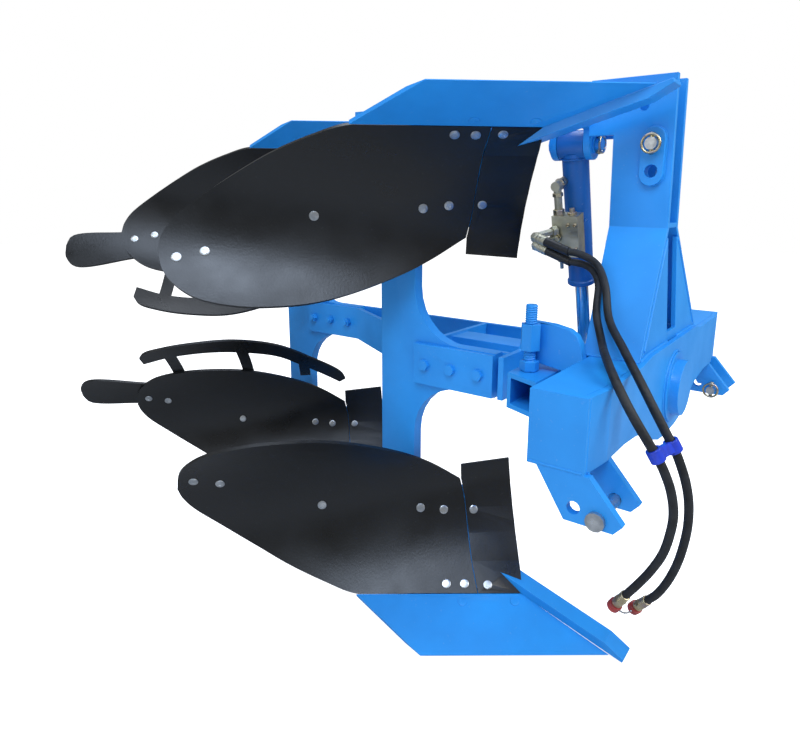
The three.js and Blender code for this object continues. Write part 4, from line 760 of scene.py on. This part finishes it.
def bead(path, radius, s=beadForm):
    # A tube along the joint whose radius falls by a share between ripples: r (1 - d |cos(pi l / pitch)|)
    path = np.asarray(path, dtype=float)
    count = max(int(alongOf(path)[-1] / s["step"]), s["shortest"])
    fine, run = evenly(path, count)
    ripple = 1 - s["depth"] * np.abs(np.cos(np.pi * run / s["ripple"]))
    ripple[[0, -1]] = s["ends"]
    return tubeAlong(fine, radius, s["sides"], ripple)


def arcPath(axis, at, u, v, radius, start=0.0, end=360.0, count=60):
    # Points on an arc square to an axis, given its place along the axis and its centre in the other two
    t = np.radians(np.linspace(start, end, count))
    a, b = u + radius * np.cos(t), v + radius * np.sin(t)
    flat = np.full(count, float(at))
    return np.stack({"x": (flat, a, b), "y": (a, flat, b), "z": (a, b, flat)}[axis], axis=1)


# The mast's front edge leans back as it rises, and its side plates close in
mast = {"foot": 96, "front": 10.7, "back": 17.7, "rise": 244, "top": 340, "half": 26.5, "spread": 0.754}


def mastCorner(z, m):
    # A point where the front edge meets the left side plate
    return m["front"] - (z - m["foot"]) * m["back"] / m["rise"], m["half"] + (m["top"] - z) * m["spread"], z


# Joints as (path, bead radius). Those of the headstock's sides are on its left, and are laid on both
slotRound = [arcPath("y", 41.2, -48, z, 24, start, start + 180, 24) for z, start in ((516, 0), (448, 180))]
sideJoints = [([(-66, y, -31.5), (18, y, -31.5)], 3.6) for y in (402, 417, 475)] + [
    ([(-98, 225, 96.5), (9, 225, 96.5)], 4.0),
    ([(-98, 212, 96.5), (-2, 212, 96.5)], 3.4),
    ([(11.4, 38, 104), (11.4, 178, 104), (11.4, 222, 98)], 3.6),
    ([mastCorner(z, mast) for z in (112, 200, 316)], 3.2),
    ([(-84, 489, -28), (10, 489, -28)], 3.0),
    ([(13, 480, -29), (13, 480, 94)], 2.6),
    ([(-188.5, 41, 562), (-188.5, 41, 611)], 3.2),
    ([(-188.5, 28, 562), (-188.5, 28, 611)], 3.0),
    ([(-86, 265, -29), (-86, 265, 94)], 3.4),
    ([(-86, 245, -29), (-86, 245, 94)], 3.2),
    (np.concatenate([*slotRound, slotRound[0][:1]]), 2.6),
]
middleJoints = [(arcPath("x", -85.5, 0, 0, 67), 3.8), (arcPath("x", 23.2, 0, 0, 79, 8, 352), 2.6)]
barCorners = [(-40, -45), (40, -45), (40, 45), (-40, 45), (-40, -45)]
frameJoints = [
    (arcPath("x", -296.5, 0, 0, 66), 4.0),
    (arcPath("x", -268.6, 0, 0, 66), 3.6),
    ([(-311.5, y, z) for y, z in barCorners], 3.6),
    ([(-311.5, 147, -48), (-311.5, 147, 48)], 3.6),
    ([(-311.5, -125, -48), (-311.5, -125, 48)], 3.6),
    ([(-530, y, z) for y, z in barCorners], 3.2),
    ([(-140, -60, -10.5), (-216, -60, -10.5)], 3.0),
    ([(-140, -24, 62), (-216, -24, 62)], 3.0),
]
# On the front leg's upper half, and laid on both halves of both legs
legJoints = [
    ([(-553.5, -139, 336), (-553.5, -139, 448)], 3.6),
    ([(-655, -138.5, 450.5), (-556, -138.5, 450.5)], 3.2),
]

headstockBeads = [bead(path, radius) for path, radius in middleJoints]
for side in (-1, 1):
    headstockBeads += [bead(np.array(path) * (1, side, 1), radius) for path, radius in sideJoints]
headWelds = gathered("headstockWelds", headstockBeads, blueEnamel, "headstock", angle=70)

frameBeads = [bead(path, radius) for path, radius in frameJoints]
for rear, side in cornersOf.values():
    shift = np.array((-boardForm["back"], boardForm["across"], 0.0)) * rear
    frameBeads += [bead(np.array(path) * (1, 1, side) + shift, radius) for path, radius in legJoints]
frameWelds = gathered("turnoverFrameWelds", frameBeads, blueEnamel, "turnover_frame", angle=70)
print("welds laid")


# Threaded stop screws: the thread is a helix, r = R - depth * clip(1.4 * saw(z / pitch - turn) - 0.2, 0, 1),
# with saw running from 0 to 1 and back; the upper end is chamfered
stopScrews = {
    "radius": 12.0, "depth": 1.3, "pitch": 4.5, "sides": 36, "rowsPerPitch": 10, "sharp": 1.4, "flat": 0.2,
    "chamfer": 2.2, "chamferSlope": 0.9, "x": -187.0, "y": 282.7, "threadFrom": 19.0,
    "foot": [(0, 15.0), (0.2, 17.5), (1.6, 19.3), (19.4, 19.3), (20.8, 17.5), (21.0, 12.5)],
    "right": (62.4, 195.0), "left": (10.4, 143.0),
}


def threaded(x, y, low, high, s):
    sides = s["sides"]
    rows = int((high - low) / s["pitch"] * s["rowsPerPitch"])
    z = np.linspace(low, high, rows)[:, None]
    turn = np.linspace(0, 2 * np.pi, sides, endpoint=False)
    phase = z / s["pitch"] - turn[None] / (2 * np.pi)
    saw = np.abs(2 * (phase - np.floor(phase)) - 1)
    reach = s["radius"] - s["depth"] * np.clip(saw * s["sharp"] - s["flat"], 0, 1)
    reach = np.minimum(reach, s["radius"] - s["chamfer"] + np.abs(z - high) * s["chamferSlope"])
    height = np.repeat(z, sides, axis=1)
    points = np.stack([x + reach * np.cos(turn), y + reach * np.sin(turn), height], axis=-1)
    return points.reshape(-1, 3), gridFaces(rows, sides, closed=True) + endFaces(rows, sides)


def makeStopScrew(word, side, s):
    low, high = s[word]
    x, y = s["x"], side * s["y"]
    parts = [threaded(x, y, low + s["threadFrom"], high, s),
             lathed((x, y, low), (0, 0, 1), s["foot"], s["sides"], corners=6)]
    screw = gathered(f"stopScrew_{word}_thread", parts, blueEnamel, f"stop_{word}", angle=28)
    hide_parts(f"stop_screw_{word}")


for word, side in (("right", -1), ("left", 1)):
    makeStopScrew(word, side, stopScrews)
print("stop screws threaded")


# Linchpins: a yellow-zinc cross pin with its spring ring
linchpins = {
    "reach": 21.5, "pinSides": 20, "ring": 18.0, "ringOut": 7.0, "ringPoints": 49, "wire": 2.7,
    "wireSides": 12,
    "pin": [(0, 1.0), (0.4, 3.2), (1.8, 4.9), (38, 4.9), (39, 6.4), (42, 6.4), (43, 5.2), (43, 1.0)],
    "lead": [(0, 19.5), (3, 20.3), (7, 18)],  # out from the pin and up, from its head to the ring
    "leadPoints": 12,
    "places": [
        ((-48, -61, 506), (0, -1, 0)), ((38, -375, -98.5), (0, 1, 0)),
        ((38, 375, -98.5), (0, -1, 0)), ((-178.5, 0, 515), (1, 0, 0)),
    ],
}


def linchpin(centre, out, s):
    # The ring is centre + ringOut*out + r*(sin*across + cos*up), and the lead a curve from pin to ring
    centre = np.array(centre, dtype=float)
    out = np.array(out, dtype=float)
    up = np.array((0, 0, 1.0))
    pin = lathed(centre - up * s["reach"], up, s["pin"], s["pinSides"])
    t = np.linspace(0, 2 * np.pi, s["ringPoints"])[:, None]
    ring = centre + out * s["ringOut"] + s["ring"] * (np.sin(t) * np.cross(out, up) + np.cos(t) * up)
    lead = curveOf([centre + out * a + up * b for a, b in s["lead"]], s["leadPoints"])
    return [pin] + [tubeAlong(path, s["wire"], s["wireSides"]) for path in (ring, lead)]


pinParts = [part for centre, out in linchpins["places"] for part in linchpin(centre, out, linchpins)]
pins = gathered("linchpins", pinParts, yellowZinc, "headstock")


# The cylinder's own line leans out from its top pin, by this much at the turnover axis's height
cylinder = {"x": -235.0, "top": 515.0, "out": 150.0}


def leaned(points):
    # Turns points about X by the cylinder's lean and carries them from its top pin
    p = np.asarray(points, dtype=float)
    lean = math.atan(cylinder["out"] / cylinder["top"])
    c, s = math.cos(lean), math.sin(lean)
    y = p[..., 1] * c - p[..., 2] * s
    z = p[..., 1] * s + p[..., 2] * c + cylinder["top"]
    return np.stack([p[..., 0] + cylinder["x"], y, z], axis=-1)


def leanedParts(parts):
    return [(leaned(points), faces) for points, faces in parts]


# Fittings on the cylinder and its valve block; all but the hoses' ends are in the cylinder's leaning axes
valveFittings = {
    "hoseEnds": {"pressure": (-254, -85, 303), "return": (-252, -80, 283)},
    "ferrule": [(0, 9.4), (0.6, 11.0), (4, 11.3), (5, 10.4), (8, 10.4), (9, 11.3), (13, 11.3), (14, 10.4),
                (17, 10.4), (18, 11.3), (22, 11.3), (23, 10.4), (26, 10.4), (27, 11.2), (30, 11.2),
                (30.6, 8.2)],
    "ferruleLap": 0.5, "ferruleNut": {"back": 29.0, "radius": 12.2, "length": 9.0},
    "sleeve": {"lap": 1.0, "bore": 8.0, "radius": 10.2, "mouth": 9.6, "hub": 0.5, "mouthX": -192.0},
    "hexagon": [(0, 0.6), (0, 0.9), (0.1, 1.0), (0.9, 1.0), (1.0, 0.9), (1.0, 0.3)],
    "screwHead": [(-1, 1), (-1, 4.6), (3.0, 4.6), (3.6, 4.0), (3.6, 2.4), (1.4, 2.4), (1.4, 0.2)],
    "screwsAt": [(8, -80, -160), (8, -80, -216), (24, -80, -160), (24, -80, -216)],
    "nuts": [
        ((-21, -82, -188), (0, -1, 0), 12.8, 7), ((-20, -62, -140.4), (0, 0, 1), 13.0, 12),
        ((-20, -62, -100), (0, 0, 1), 12.0, 9), ((-20, -62, -236), (0, 0, -1), 12.0, 8),
        ((12, -62, -140.4), (0, 0, 1), 10.5, 6), ((-20, -42, -75), (0, -1, 0), 13.4, 12),
    ],
    "stemAt": (12, -62, -135), "stem": [(0, 1), (0, 5.5), (9, 5.5), (10, 4.6), (10, 1)],
    "barrelRing": {"z": -27, "radius": 30.6, "arcs": [(20, 160), (200, 340)], "points": 40, "bead": 2.8},
    "bracketWelds": {"x": (-7, 33), "y": (-44, -30), "z": -160, "bead": 2.4},
    "collar": [(-331, 16.4), (-331, 31.5), (-329.5, 33.4), (-321, 33.4), (-319.4, 31.8), (-318, 30.6),
               (-316, 30.4)],
    "greaseAt": (0, 31, -6), "greaseWay": (0, 1, 0.2),
    "grease": [(-2, 1), (-2, 4.2), (3, 4.2), (3.4, 2.6), (6, 2.6), (8, 3.1), (9.4, 2.2), (9.8, 0.3)],
}


def nutAt(origin, way, radius, length):
    profile = [(d * length, r * radius) for d, r in valveFittings["hexagon"]]
    return lathed(origin, way, profile, 36, corners=6)


def sleeveFor(start, way, size, s):
    # A rubber sleeve over the hose's end, cut off square to X just behind the hose's first turn
    profile = [(-s["lap"], s["bore"]), (-s["lap"], s["radius"]), (size, s["mouth"]), (size, s["hub"])]
    points, faces = lathed(start, way, profile, 24)
    front = (points - start) @ way > size / 2
    points[front] += np.outer((s["mouthX"] - points[front, 0]) / way[0], way)
    return points, faces


def makeHoseEnds(s):
    plated = []
    rubber = []
    for word, start in s["hoseEnds"].items():
        start = np.array(start, dtype=float)
        back = start - hosePath(word)[0]
        size = np.linalg.norm(back)
        back /= size
        nut = s["ferruleNut"]
        plated.append(lathed(start - back * s["ferruleLap"], back, s["ferrule"]))
        plated.append(nutAt(start + back * nut["back"], back, nut["radius"], nut["length"]))
        rubber.append(sleeveFor(start, -back, size, s["sleeve"]))
    ferrules = gathered("hoseFerrules", plated, blockZinc, "barrel", bevel=0.25)
    sleeves = gathered("hoseSleeves", rubber, sleeveRubber, "barrel")


def makeValveFittings(s):
    local = [lathed(at, (0, -1, 0), s["screwHead"], 24) for at in s["screwsAt"]]
    local += [nutAt(*row) for row in s["nuts"]]
    local.append(lathed(s["stemAt"], (0, 0, 1), s["stem"], 20))
    fittings = gathered("valveFittings", leanedParts(local), yellowZinc, "barrel", bevel=0.3)
    ring, bracket = s["barrelRing"], s["bracketWelds"]
    welds = [bead(arcPath("z", ring["z"], 0, 0, ring["radius"], start, end, ring["points"]), ring["bead"])
             for start, end in ring["arcs"]]
    welds += [bead([(x, y, bracket["z"]) for y in bracket["y"]], bracket["bead"]) for x in bracket["x"]]
    barrelWelds = gathered("barrelWelds", leanedParts(welds), blueAndShadeEnamel, "barrel", angle=70)
    collar = lathed((0, 0, 0), (0, 0, 1), s["collar"], 48)
    seal = gathered("glandCollar", leanedParts([collar]), blueAndShadeEnamel, "barrel", bevel=0.3)
    grease = lathed(s["greaseAt"], s["greaseWay"], s["grease"], 18)
    nipple = gathered("greaseNipple", leanedParts([grease]), yellowZinc, "barrel")


makeHoseEnds(valveFittings)
makeValveFittings(valveFittings)
print("cylinder dressed")


# Floor, light and background
studio = {
    "half": 14.0, "floor": "F4F5F6", "glow": 0.9, "mirroredFloor": "A4A6A9",
    "world": "FFFFFF", "worldStrength": 0.34, "mirrored": 0.26,
}


def byRay(tree, seen, mirrored, usual):
    # One shader for what the camera sees, one for what gloss mirrors and one for all other light
    rays = addNode(tree, "ShaderNodeLightPath").outputs
    unseen = addNode(tree, "ShaderNodeMixShader", {}, {0: rays["Is Glossy Ray"], 1: usual, 2: mirrored})
    return addNode(tree, "ShaderNodeMixShader", {}, {0: rays["Is Camera Ray"], 1: unseen, 2: seen})


def makeFloor(s):
    corners = [(x * s["half"], y * s["half"], 0) for x, y in ((-1, -1), (1, -1), (1, 1), (-1, 1))]
    mesh = bpy.data.meshes.new("floor")
    mesh.from_pydata(corners, [], [(0, 1, 2, 3)])
    floor = bpy.data.objects.new("floor", mesh)
    bpy.context.collection.objects.link(floor)
    material = bpy.data.materials.new("pale_floor")
    material.use_nodes = True
    tree = material.node_tree
    tree.nodes.clear()
    matt = addNode(tree, "ShaderNodeBsdfDiffuse", {"Color": linear(s["floor"])})
    glow = addNode(tree, "ShaderNodeEmission", {"Color": linear("FFFFFF"), "Strength": s["glow"]})
    both = addNode(tree, "ShaderNodeAddShader", {}, {0: matt, 1: glow})
    dull = addNode(tree, "ShaderNodeBsdfDiffuse", {"Color": linear(s["mirroredFloor"])})
    addNode(tree, "ShaderNodeOutputMaterial", {}, {0: byRay(tree, both, dull, matt)})
    mesh.materials.append(material)


def makeWorld(s):
    world = bpy.data.worlds.new("studio")
    world.use_nodes = True
    tree = world.node_tree
    tree.nodes.clear()
    # What the camera sees, what gloss mirrors, and the light itself
    levels = (("FFFFFF", 1.0), (s["world"], s["mirrored"]), (s["world"], s["worldStrength"]))
    skies = [addNode(tree, "ShaderNodeBackground", {"Color": linear(colour), "Strength": strength})
             for colour, strength in levels]
    addNode(tree, "ShaderNodeOutputWorld", {}, {0: byRay(tree, *skies)})
    bpy.context.scene.world = world


lamps = {
    "key": {"at": (3.6, 0.4, 3.0), "size": 2.4, "power": 96, "aim": (0.0, 0.0, 0.5), "colour": "FFFFFF"},
    "fill": {"at": (-1.2, -3.6, 2.2), "size": 2.0, "power": 28, "aim": (-0.2, 0.0, 0.5), "colour": "FFFFFF"},
    "sky": {"at": (1.5, -2.6, 4.0), "size": 2.2, "power": 116, "aim": (0.0, -0.2, 0.5), "colour": "D8E8FF"},
    "top": {"at": (-0.8, 0.8, 4.2), "size": 2.6, "power": 85, "aim": (-0.2, 0.0, 0.4), "colour": "E8F1FF"},
}


def makeLamps(rows):
    for name, s in rows.items():
        data = bpy.data.lights.new(name, "AREA")
        data.shape = "SQUARE"
        data.size = s["size"]
        data.energy = s["power"]
        data.color = linear(s["colour"])[:3]
        lamp = bpy.data.objects.new(name, data)
        aim = Vector(s["aim"]) - Vector(s["at"])
        lamp.matrix_world = Matrix.Translation(s["at"]) @ aim.to_track_quat("-Z", "Y").to_matrix().to_4x4()
        bpy.context.collection.objects.link(lamp)


makeFloor(studio)
makeWorld(studio)
makeLamps(lamps)
bpy.context.scene.view_settings.view_transform = "Standard"
print("studio lit")
